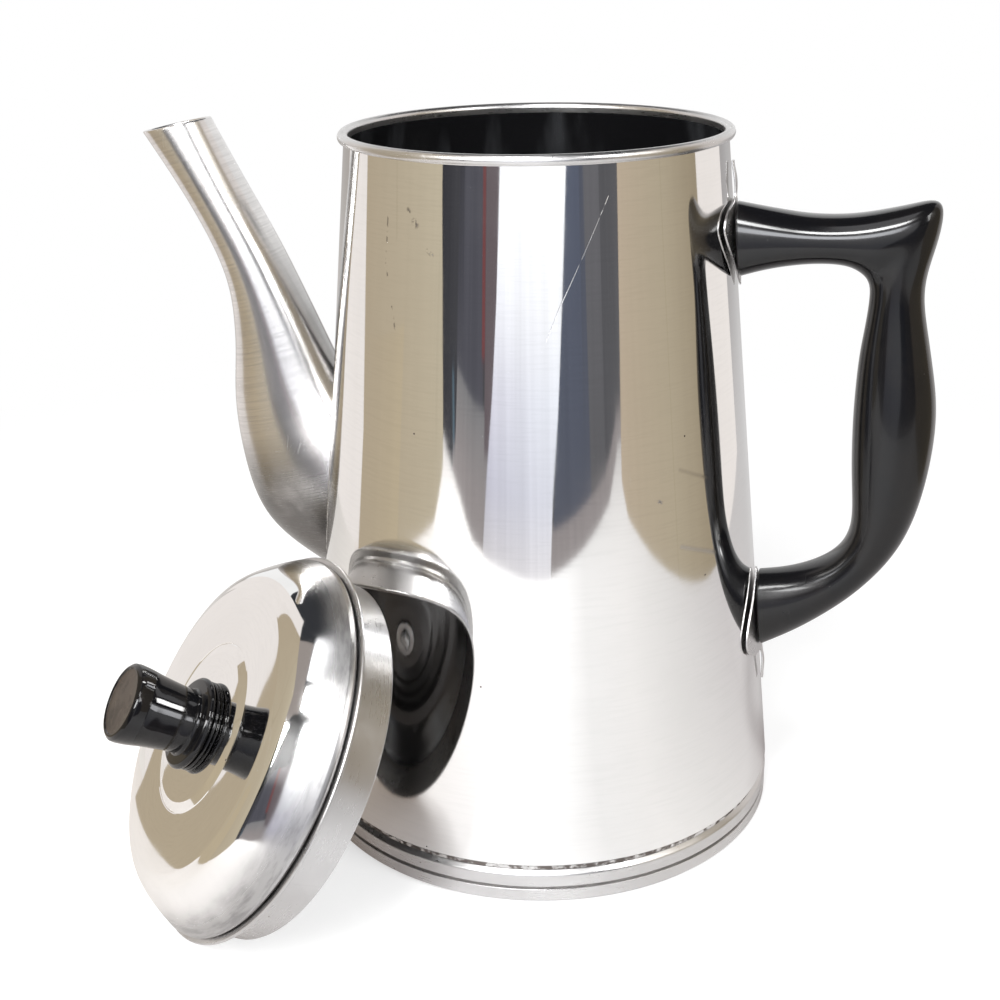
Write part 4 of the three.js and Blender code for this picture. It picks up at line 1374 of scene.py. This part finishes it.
class MESH_OT_coffee_pot_screws(bpy.types.Operator):
    """Screws and washers inside the wall, and the finish of the threaded inserts"""

    bl_idname = "mesh.coffee_pot_screws"
    bl_label = "Screws and washers"

    def execute(self, context):
        body, handle = settings().body, settings().handle
        for where, height in (("upper", handle.top_height), ("lower", handle.low_height)):
            seat = washer_seat(height)
            washer = flat_washer(f"washer_{where}", screw_hole(), handle.washer_radius,
                                 seat - handle.washer, seat)
            fitted(place(washer, out_of_wall(height)), "pot", "zinc_steel", f"handle_washer_{where}")
            under = seat - handle.washer - body.clearance
            screw = slotted_screw(
                f"screw_{where}", handle.screw_radius, under, handle.screw_length, handle.head_radius,
                handle.head_height,
            )
            fitted(place(screw, out_of_wall(height)), "pot", "zinc_steel", f"handle_screw_{where}")
        for node in ("handle_insert_upper", "handle_insert_lower", "knob_insert"):
            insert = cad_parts[node]
            insert.data.materials.clear()
            insert.data.materials.append(turned_brass())
        return {"FINISHED"}


# ---------------------------------------------------------------- lid and knob


def lid_frame():
    """Where the lid leans: its own Z runs from the collar to the knob, from the groove under the dome."""
    def corners(node):
        seen = {tuple(round(c, 7) for c in v.co): v.co.copy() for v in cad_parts[node].data.vertices}
        return list(seen.values())

    def middle(spots):
        return sum(spots, Vector()) / len(spots)

    collar, knob = corners("lid_collar"), corners("knob")
    foot = middle(collar)
    axis = (middle(knob) - foot).normalized()
    low = min((spot - foot).dot(axis) for spot in collar)
    origin = foot + axis * (low + settings().lid.collar_height)
    return Matrix.Translation(origin) @ Vector((0, 0, 1)).rotation_difference(axis).to_matrix().to_4x4()


def knob_hole():
    """Radius of the holes that the knob's screw passes through."""
    return settings().lid.screw_radius + settings().handle.hole_clearance


def guard_top():
    """Top of the ring under the knob."""
    lid = settings().lid
    return lid.seat_height + settings().body.clearance + lid.guard


class MESH_OT_coffee_pot_lid(bpy.types.Operator):
    """Dome of the lid with its raised middle, and the sleeve with the ledge under it"""

    bl_idname = "mesh.coffee_pot_lid"
    bl_label = "Lid"

    def execute(self, context):
        lie = lid_frame()
        self.dome(lie)
        self.sleeve(lie)
        return {"FINISHED"}

    @staticmethod
    def dome(lie):
        """The cap: rolled edge, shoulder, crown and raised middle, lined inside."""
        lid = settings().lid
        edge, crown, rise = lid.dome_radius, lid.crown_radius, lid.dome_rise
        disc, top = lid.disc_radius, lid.disc_height
        foot = top - lid.disc_step
        rolled = rounded([
            (edge - 1.6 * MM, 0, 0), (edge - 0.5 * MM, 0.1 * MM, 0.4 * MM), (edge, 0.9 * MM, 0.6 * MM),
            (edge - 0.25 * MM, 2.2 * MM, 0),
        ])
        shoulder = flowing([
            (edge - 0.3 * MM, 2.2 * MM),
            (edge - 2.2 * MM, 0.34 * rise),
            (edge - 4.35 * MM, 0.545 * rise),
            (edge - 6.6 * MM, 0.73 * rise),
            (edge - 9.2 * MM, 0.885 * rise),
            (edge - 12.6 * MM, 0.966 * rise),
            (0.4 * edge + 0.6 * crown - 1.5 * MM, 0.990 * rise),
            (crown + 1 * MM, rise),
            (crown - 4 * MM, rise - 0.06 * MM),
            (disc + 1.0 * MM, foot),
        ], 120, 0.022)
        step = rounded([
            (disc + 1.0 * MM, foot, 0), (disc + 0.75 * MM, foot - 0.22 * MM, 0.1 * MM),
            (disc + 0.5 * MM, foot - 0.02 * MM, 0.1 * MM),
            (disc - 2.0 * MM, top - 0.05 * MM, 1.6 * MM), (disc - 4 * MM, top + 0.05 * MM, 0),
        ], 7)[1:]
        outside = rolled[:-1] + [tuple(p) for p in shoulder] + step
        inside = []
        for i, (radius, height) in enumerate(outside):
            before, after = outside[max(i - 1, 0)], outside[min(i + 1, len(outside) - 1)]
            run = Vector((after[0] - before[0], after[1] - before[1])).normalized()
            inside.append((radius - lid.sheet * run.y, height + lid.sheet * run.x))
        kept = inside[len(rolled):-len(step)]
        under = lid.seat_height - lid.sheet
        profile = (
            outside + [(disc * 0.6, top + 0.08 * MM), (knob_hole(), top + 0.08 * MM), (knob_hole(), under),
                       (disc * 0.6, under), (disc - 1.3 * MM, under)]
            + list(reversed(kept))
            + [(edge - 1.6 * MM - lid.sheet, lid.sheet), (edge - 1.6 * MM - lid.sheet, 0)]
        )
        piece = turned("lid_cap", profile, AROUND, [polished_sheet(lie), dark_lining(lie)], closes=True)
        polished_rows = len(outside) + 2
        for face in piece.data.polygons:
            face.material_index = 1 if min(v // AROUND for v in face.vertices) >= polished_rows else 0
        fitted(place(piece, lie), "lid", "polished_aluminium", "lid_dome")

    @staticmethod
    def sleeve(lie):
        """The sleeve that goes into the mouth, with the ledge that sits on the rim."""
        body, lid = settings().body, settings().lid
        outer, wall = lid.collar_radius, lid.collar_wall
        top = -body.clearance
        low = top - lid.flange
        inside = outer - wall
        profile = rounded([
            (inside, -lid.collar_height, 0.3 * MM),
            (outer - 0.2 * MM, -lid.collar_height, 0.3 * MM),
            (outer, -lid.collar_height + 0.4 * MM, 0.3 * MM),
            (outer, low - 1.4 * MM, 0.4 * MM),
            (outer + 0.8 * MM, low - 0.9 * MM, 0.5 * MM),
            (outer + 1.1 * MM, low, 0.2 * MM),
            (lid.flange_radius - 0.3 * MM, low, 0.25 * MM),
            (lid.flange_radius, low + 0.3 * MM, 0.3 * MM),
            (lid.flange_radius, top - 0.3 * MM, 0.3 * MM),
            (lid.flange_radius - 0.3 * MM, top, 0.25 * MM),
            (inside, top, 0.2 * MM),
            (inside, (top - lid.collar_height) / 2, 0),
        ], 5)
        piece = turned("lid_sleeve", profile, AROUND, [satin_metal(lie)], closes=True, sharp=RING_CREASE)
        fitted(place(piece, lie), "lid", "satin_aluminium", "lid_collar")


class MESH_OT_coffee_pot_knob(bpy.types.Operator):
    """Knob with its worn face, the ring under it, and its screw and washer"""

    bl_idname = "mesh.coffee_pot_knob"
    bl_label = "Knob"

    def execute(self, context):
        body, lid = settings().body, settings().lid
        lie = lid_frame()
        gap = body.clearance
        low = guard_top() + gap
        self.grip(lie, low)
        guard_low = lid.disc_height + gap / 2
        guard = turned("knob_guard", rounded([
            (knob_hole(), guard_low, 0), (lid.guard_radius - 0.3 * MM, guard_low, 0.2 * MM),
            (lid.guard_radius, guard_low + 0.3 * MM, 0.25 * MM),
            (lid.guard_radius, guard_top() - 0.3 * MM, 0.25 * MM),
            (lid.guard_radius - 0.3 * MM, guard_top(), 0.2 * MM), (knob_hole(), guard_top(), 0),
        ], 6), KNOB_SIDES, [bakelite(lie)], closes=True, sharp=RING_CREASE)
        fitted(place(guard, lie), "lid", "black_bakelite", "knob_guard_ring")
        seat = lid.seat_height - lid.sheet - gap
        washer = flat_washer("knob_disc", knob_hole(), lid.washer_radius, seat - lid.washer, seat, lie)
        fitted(place(washer, lie), "lid", "zinc_steel", "knob_washer")
        under = seat - lid.washer - gap
        screw = slotted_screw(
            "knob_bolt", lid.screw_radius, under, guard_top() + lid.screw_length, lid.head_radius,
            lid.head_height, lie,
        )
        fitted(place(screw, lie), "lid", "zinc_steel", "knob_screw")
        return {"FINISHED"}

    @staticmethod
    def grip(lie, low):
        """The knob itself, from a height, with a bore from below."""
        body, lid = settings().body, settings().lid
        bore = lid.insert_radius + body.clearance
        bore_top = max(low + lid.insert_length + 2 * body.clearance,
                       guard_top() + lid.screw_length + body.clearance)
        ledge = low + lid.knob_flange
        top, root, head = lid.knob_top, lid.knob_root_radius, lid.knob_top_radius
        flange, face = lid.knob_flange_radius, lid.face_radius
        side = flowing([
            (root + 0.1 * MM, ledge + 0.8 * MM),
            (root, ledge + 2.2 * MM),
            ((root + head) / 2 - 0.1 * MM, (ledge + top) / 2),
            (head - 0.25 * MM, top - 5 * MM),
            (head, top - 2.0 * MM),
        ], 40, 0.05)
        profile = rounded([
            (0, bore_top, 0), (bore, bore_top, 0), (bore, low, 0),
            (flange - 0.7 * MM, low, 0.5 * MM),
            (flange, low + 0.8 * MM, 0.8 * MM),
            (flange, ledge - 0.8 * MM, 0.8 * MM),
            (flange - 0.8 * MM, ledge, 0.8 * MM),
            (root + 0.4 * MM, ledge + 0.15 * MM, 0.6 * MM),
            (root + 0.1 * MM, ledge + 0.8 * MM, 0),
        ], 6)
        profile += [tuple(p) for p in side[1:]]
        profile += rounded([
            (head, top - 2.0 * MM, 0), (head - 0.15 * MM, top - 0.8 * MM, 0.5 * MM),
            (head - 1.0 * MM, top, 0.7 * MM), (face, top, 0.15 * MM),
            (face - 0.25 * MM, top - lid.face_recess, 0.15 * MM), (face * 0.5, top - lid.face_recess, 0),
            (0, top - lid.face_recess, 0),
        ], 5)[1:]
        piece = turned("knob_body", profile, KNOB_SIDES, [bakelite(lie), worn_face(lie)], sharp=KNOB_CREASE)
        faced(piece, lambda spot, normal: 1 if spot.z > top - 1.2 * MM
              and math.hypot(spot.x, spot.y) < face - 0.1 * MM and normal.z > 0.6 else 0)
        fitted(place(piece, lie), "lid", "black_bakelite", "knob")


# ---------------------------------------------------------------- floor, cards, lamps and camera


def ray_seen(tree):
    """1 for rays that see the background: straight, in a reflection or through glass."""
    path = put(tree, "LightPath")
    return path["Is Camera Ray"].top(path["Is Glossy Ray"]).top(path["Is Transmission Ray"])


def bare_material(name):
    """A material with an empty tree, whose glow is no lamp."""
    made = bpy.data.materials.new(name)
    made.use_nodes = True
    made.node_tree.nodes.clear()
    made.cycles.emission_sampling = "NONE"
    return made, made.node_tree


def along_plan(plan, distance):
    """A place on a plan line, a distance from its start."""
    for a, b in zip(plan, plan[1:]):
        run = math.dist(a, b)
        if distance <= run or b is plan[-1]:
            part = distance / run
            return a[0] + (b[0] - a[0]) * part, a[1] + (b[1] - a[1]) * part
        distance -= run


class SCENE_OT_coffee_pot_stage(bpy.types.Operator):
    """Pale floor, studio cards that the metal mirrors, lamps and camera"""

    bl_idname = "scene.coffee_pot_stage"
    bl_label = "Stage"

    def execute(self, context):
        self.floor()
        self.cards()
        self.lamps()
        self.surroundings(context.scene)
        self.camera(context.scene)
        context.scene.view_settings.view_transform = "Standard"
        return {"FINISHED"}

    @staticmethod
    def floor():
        """White table: it keeps the shadows near the pot, and metal mirrors it darker towards one side."""
        made, tree = bare_material("Floor")
        spot = put(tree, "TexCoord")["Object"]
        path = put(tree, "LightPath")
        x, y, _ = spot.parts()
        mirrored = put(tree, "ValToRGB", y.maths("ARCTAN2", x) * (0.5 / math.pi) + 0.5)
        stops = mirrored.node.color_ramp.elements
        first, *tones, last = (
            (0.00, (0.22, 0.16, 0.11)), (0.10, (0.20, 0.15, 0.11)), (0.19, (0.20, 0.17, 0.16)),
            (0.222, (0.26, 0.24, 0.24)), (0.234, (0.42, 0.41, 0.42)), (0.298, (0.34, 0.34, 0.35)),
            (0.346, (0.10, 0.09, 0.09)), (0.40, (0.13, 0.11, 0.10)), (0.46, (0.08, 0.06, 0.05)),
            (0.56, (0.03, 0.00, 0.00)), (0.70, (0.28, 0.27, 0.27)), (1.00, (0.24, 0.20, 0.16)),
        )
        for part_round, colour in tones:
            stops.new(part_round).color = (*colour, 1.0)
        stops[0].color = (*first[1], 1.0)
        stops[len(stops) - 1].color = (*last[1], 1.0)
        shade = mix(path["Is Glossy Ray"], (0.62, 0.62, 0.62), mirrored[0])
        glow = put(tree, "Emission", Color=shade, Strength=ray_seen(tree))
        matt = put(tree, "BsdfDiffuse", Color=dim(settings().stage.floor_tone, 0.5))
        near = put(tree, "AddShader", matt[0], glow[0])
        far = put(tree, "Emission", Color=(1.0, 1.0, 1.0), Strength=1.0)
        fade_from, fade_to = 0.24, 0.50  # distances from the pot between which the table turns plain white
        is_far = spot.vector("LENGTH")["Value"].ramp(fade_from, fade_to) * path["Is Camera Ray"]
        put(tree, "OutputMaterial", put(tree, "MixShader", is_far, near[0], far[0])[0])
        floor = turned("floor", [(0, 0), (0.6, 0), (3.0, 0)], 96, [made])
        floor.location.z = -0.2 * MM
        bpy.context.view_layer.update()

    @staticmethod
    def boards():
        """Boards that stand round the pot. Each has a plan, then strips, a later one in front of an earlier:
        from where to where along the plan at the foot, the same at the top, the heights of foot and top, and
        the colours from side to side at the foot and, where they differ, at the top."""
        umber, ink, room = (0.45, 0.385, 0.275), (0.042, 0.042, 0.050), (0.016, 0.016, 0.018)
        slate, plum, wine = (0.095, 0.095, 0.115), (0.155, 0.128, 0.140), (0.20, 0.072, 0.075)
        mist, fog, sky = (0.25, 0.25, 0.26), (0.34, 0.31, 0.31), (0.11, 0.16, 0.20)
        navy, blue, grey = (0.105, 0.115, 0.150), (0.125, 0.145, 0.205), (0.170, 0.168, 0.185)
        coal, cream = (0.130, 0.130, 0.140), (0.94, 0.89, 0.86)
        beige, sand, dune = (0.60, 0.53, 0.40), (0.56, 0.47, 0.33), (0.49, 0.41, 0.30)
        warm, straw, khaki = (0.57, 0.47, 0.36), (0.49, 0.42, 0.31), (0.36, 0.30, 0.21)
        window, glare = (13.0, 13.2, 13.8), (1.60, 1.62, 1.66)
        glow_a, glow_b = (1.08, 1.10, 1.18), (1.16, 1.18, 1.22)
        pale_a, pale_b = (0.80, 0.80, 0.91), (1.01, 1.05, 1.14)
        dull_a, dull_b = (0.62, 0.62, 0.73), (0.86, 0.88, 0.98)
        low_a, low_b = (0.70, 0.68, 0.71), (0.93, 0.91, 0.95)
        left = ((-0.43, -0.61), (-0.345, -0.43), (-0.37, -0.16), (-0.355, -0.04), (-0.34, 0.08),
                (-0.33, 0.17))
        front = ((-0.42, -0.68), (-0.29, -0.61), (-0.17, -0.52), (0, -0.49), (0.15, -0.455), (0.30, -0.445),
                 (0.50, -0.435), (0.70, -0.505), (0.72, -0.515), (0.90, -0.44))
        right = ((0.70, -0.51), (0.50, -0.31), (0.40, -0.10), (0.325, 0.06), (0.30, 0.16), (0.28, 0.32))
        back = ((-0.75, -0.86), (-0.2, -0.60), (0.2, -0.58), (0.60, -0.58), (0.90, -0.46))
        fin = ((-0.345, -0.21), (-0.248, -0.030))
        return (
            (left, (
                (0.50, 0.82, 0.50, 0.82, 0.0, 0.85, (cream, cream)),
                (-0.012, 0.590, 0.165, 0.655, 0.0, 0.20, (beige, dune)),
                (0.165, 0.655, 0.20, 0.655, 0.20, 0.85, (beige, dune)),
                (0.405, 0.4085, 0.475, 0.4785, 0.0, 0.20, (umber, umber)),
                (0.475, 0.4785, 0.475, 0.4785, 0.20, 0.85, (umber, umber)),
            )),
            (fin, ((0.0, 0.204, 0.0, 0.204, 0.0, 0.125, (sand, dune)),)),
            (front, (
                (-0.33, 1.41, -0.33, 1.41, 0.0, 0.30, (ink, coal)),
                (0.05, 1.41, 0.05, 1.41, 0.0, 0.028, (fog, fog)),
                (0.045, 0.078, 0.020, 0.050, 0.022, 0.075, (sky, sky)),
                (0.085, 0.38, 0.095, 0.38, 0.028, 0.085, (fog, fog, mist, mist)),
                (0.09, 0.17, 0.10, 0.15, 0.085, 0.30, (slate, slate, ink, ink)),
                (0.17, 0.345, 0.15, 0.345, 0.085, 0.30, (slate, slate)),
                (0.338, 0.354, 0.338, 0.356, 0.115, 0.30, (wine, wine)),
                (0.354, 0.40, 0.358, 0.44, 0.060, 0.30, (plum, plum)),
                (0.350, 0.632, 0.366, 0.646, 0.0, 0.045, (low_a, low_b, dull_a, dull_b)),
                (0.366, 0.646, 0.393, 0.680, 0.045, 0.10, (dull_a, dull_b, pale_a, pale_b)),
                (0.393, 0.680, 0.410, 0.707, 0.10, 0.15, (pale_a, pale_b, glow_a, glow_b)),
                (0.410, 0.707, 0.440, 0.765, 0.15, 0.30, (glow_a, glow_b, glare, glare)),
                (0.44, 0.765, 0.46, 0.72, 0.30, 0.58, (glare, glare)),
                (0.46, 0.62, 0.46, 0.62, 0.35, 0.51, (window, window)),
                (0.646, 0.80, 0.765, 0.81, 0.028, 0.30, (navy, navy, blue, blue)),
                (0.80, 0.84, 0.81, 0.83, 0.028, 0.30, (navy, navy)),
                (0.84, 0.95, 0.83, 0.96, 0.028, 0.30, (coal, coal, grey, grey)),
            )),
            (right, (
                (0.150, 0.580, 0.300, 0.580, 0.0, 0.26, (warm, straw)),
                (0.300, 0.580, 0.300, 0.580, 0.26, 0.60, (warm, straw)),
                (0.579, 0.755, 0.579, 0.745, 0.0, 0.60, (straw, khaki)),
                (0.577, 0.5805, 0.577, 0.5805, 0.0, 0.60, (umber, umber)),
                (0.755, 0.99, 0.745, 0.99, 0.0, 0.60, (cream, cream)),
            )),
            (back, ((0.0, 1.66, 0.0, 1.66, 0.29, 0.85, (room, room)),)),
        )

    def cards(self):
        """The boards, a dark round ceiling and two paler panels on it, with a colour at each corner."""
        points, faces, tones = [], [], []
        for plan, strips in self.boards():
            for depth, (foot_a, foot_b, top_a, top_b, low, high, shades) in enumerate(strips):
                columns = max(1, round((foot_b - foot_a) / COLUMN))
                for k in range(columns + 1):
                    part = k / columns
                    for height, a, b, (first, last) in ((low, foot_a, foot_b, shades[:2]),
                                                        (high, top_a, top_b, shades[-2:])):
                        x, y = along_plan(plan, a + (b - a) * part)
                        inwards = 1 - STRIP_GAP * depth
                        points.append((x * inwards, y * inwards, height))
                        tones.append([one + (other - one) * part for one, other in zip(first, last)])
                    if k:
                        n = len(points)
                        faces.append((n - 4, n - 2, n - 1, n - 3))
        ceiling_reach, ceiling_height = 0.95, 0.86
        ceiling = [(ceiling_reach * math.cos(angle), ceiling_reach * math.sin(angle)) for angle in turns(48)]
        panels = [((0.040, 0.042, 0.048), ceiling_height, ceiling)]
        for tone, height, low, high in (((0.36, 0.32, 0.30), 0.855, (-0.90, -0.80), (-0.13, 0.0)),
                                        ((1.9, 1.9, 1.95), 0.85, (-0.12, -0.30), (0.03, 0.06))):
            panels.append((tone, height, (low, (high[0], low[1]), high, (low[0], high[1]))))
        for tone, height, corners in panels:
            faces.append(tuple(range(len(points), len(points) + len(corners))))
            points += [(x, y, height) for x, y in corners]
            tones += [tone] * len(corners)
        mesh = bpy.data.meshes.new("studio_cards")
        mesh.from_pydata(points, [], faces)
        layer = mesh.attributes.new("tone", "FLOAT_COLOR", "POINT")
        layer.data.foreach_set("color", [v for tone in tones for v in (*tone, 1.0)])
        made, tree = bare_material("Studio cards")
        tone = put(tree, "Attribute", settings={"attribute_name": "tone"})["Color"]
        spot = put(tree, "TexCoord")["Object"]
        streaks = noise(spot.vector("MULTIPLY", (38.0, 38.0, 3.0))[0], 1.0, 3.0)
        uneven = streaks.maths("SUBTRACT", 0.5) * spot.parts()[1].ramp(-0.40, -0.46, 0.06, 0.40) + 1.0
        put(tree, "OutputMaterial", put(tree, "Emission", Color=tone, Strength=uneven)[0])
        mesh.materials.append(made)
        card = bpy.data.objects.new("studio_cards", mesh)
        bpy.context.scene.collection.objects.link(card)
        card.visible_camera = False
        card.visible_diffuse = False
        card.visible_shadow = False

    @staticmethod
    def lamps():
        """Softboxes: name, place, the spot it faces, its two sides and its power."""
        for name, spot, target, wide, tall, power in (
            ("key_softbox", (-0.225, -0.707, 0.56), (-0.06, -0.09, 0.08), 0.42, 0.34, 9.0),
            ("top_softbox", (-0.017, -0.42, 0.78), (0.0, 0.0, 0.10), 0.15, 0.15, 3.2),
            ("side_softbox", (0.62, -0.30, 0.62), (0.04, 0.0, 0.12), 0.34, 0.40, 4.0),
        ):
            lamp = bpy.data.lights.new(name, "AREA")
            lamp.shape = "RECTANGLE"
            lamp.size = wide
            lamp.size_y = tall
            lamp.energy = power
            box = bpy.data.objects.new(name, lamp)
            bpy.context.scene.collection.objects.link(box)
            box.location = spot
            box.rotation_euler = (Vector(target) - Vector(spot)).to_track_quat("-Z", "Y").to_euler()
            box.visible_camera = False

    @staticmethod
    def surroundings(scene):
        """White world, dimmer as a light than as seen."""
        world = bpy.data.worlds.new("Studio")
        scene.world = world
        world.use_nodes = True
        tree = world.node_tree
        tree.nodes.clear()
        tone = mix(ray_seen(tree), (0.42, 0.42, 0.42), (1.0, 1.0, 1.0))
        put(tree, "OutputWorld", put(tree, "Background", Color=tone, Strength=1.0)[0])

    @staticmethod
    def camera(scene):
        """The camera, from its place, heading, pitch and roll."""
        stage = settings().stage
        heading, pitch, roll = stage.heading, stage.pitch, -stage.roll
        ahead = Vector((-math.sin(heading) * math.cos(pitch), math.cos(heading) * math.cos(pitch),
                        -math.sin(pitch)))
        right = Vector((math.cos(heading), math.sin(heading), 0))
        up = right.cross(ahead)
        across = right * math.cos(roll) + up * math.sin(roll)
        top = up * math.cos(roll) - right * math.sin(roll)
        data = bpy.data.cameras.new("camera")
        data.lens = stage.lens
        data.sensor_width = 36.0
        data.clip_start = 0.01
        camera = bpy.data.objects.new("camera", data)
        scene.collection.objects.link(camera)
        matrix = Matrix((across, top, -ahead)).transposed().to_4x4()
        matrix.translation = Vector(stage.camera_place)
        camera.matrix_world = matrix
        scene.camera = camera


# ---------------------------------------------------------------- panel and registration


PIECES = (
    MESH_OT_coffee_pot_wall,
    MESH_OT_coffee_pot_base,
    MESH_OT_coffee_pot_spout,
    MESH_OT_coffee_pot_handle,
    MESH_OT_coffee_pot_brackets,
    MESH_OT_coffee_pot_screws,
    MESH_OT_coffee_pot_lid,
    MESH_OT_coffee_pot_knob,
    SCENE_OT_coffee_pot_stage,
)


class VIEW3D_PT_coffee_pot(bpy.types.Panel):
    """Lists the pieces of the coffee pot"""

    bl_idname = "VIEW3D_PT_coffee_pot"
    bl_label = "Coffee Pot"
    bl_space_type = "VIEW_3D"
    bl_region_type = "UI"
    bl_category = "Coffee Pot"

    def draw(self, context):
        column = self.layout.column()
        for piece in PIECES:
            column.operator(piece.bl_idname)


CLASSES = (
    CoffeePotBody,
    CoffeePotSpout,
    CoffeePotHandle,
    CoffeePotLid,
    CoffeePotFinish,
    CoffeePotStage,
    CoffeePotSettings,
    *PIECES,
    VIEW3D_PT_coffee_pot,
)


def register():
    for entry in CLASSES:
        bpy.utils.register_class(entry)
    bpy.types.Scene.coffee_pot = PointerProperty(type=CoffeePotSettings)


def unregister():
    del bpy.types.Scene.coffee_pot
    for entry in reversed(CLASSES):
        bpy.utils.unregister_class(entry)


def main():
    register()
    for piece in PIECES:
        group, name = piece.bl_idname.split(".")
        getattr(getattr(bpy.ops, group), name)()


if __name__ == "__main__":
    main()
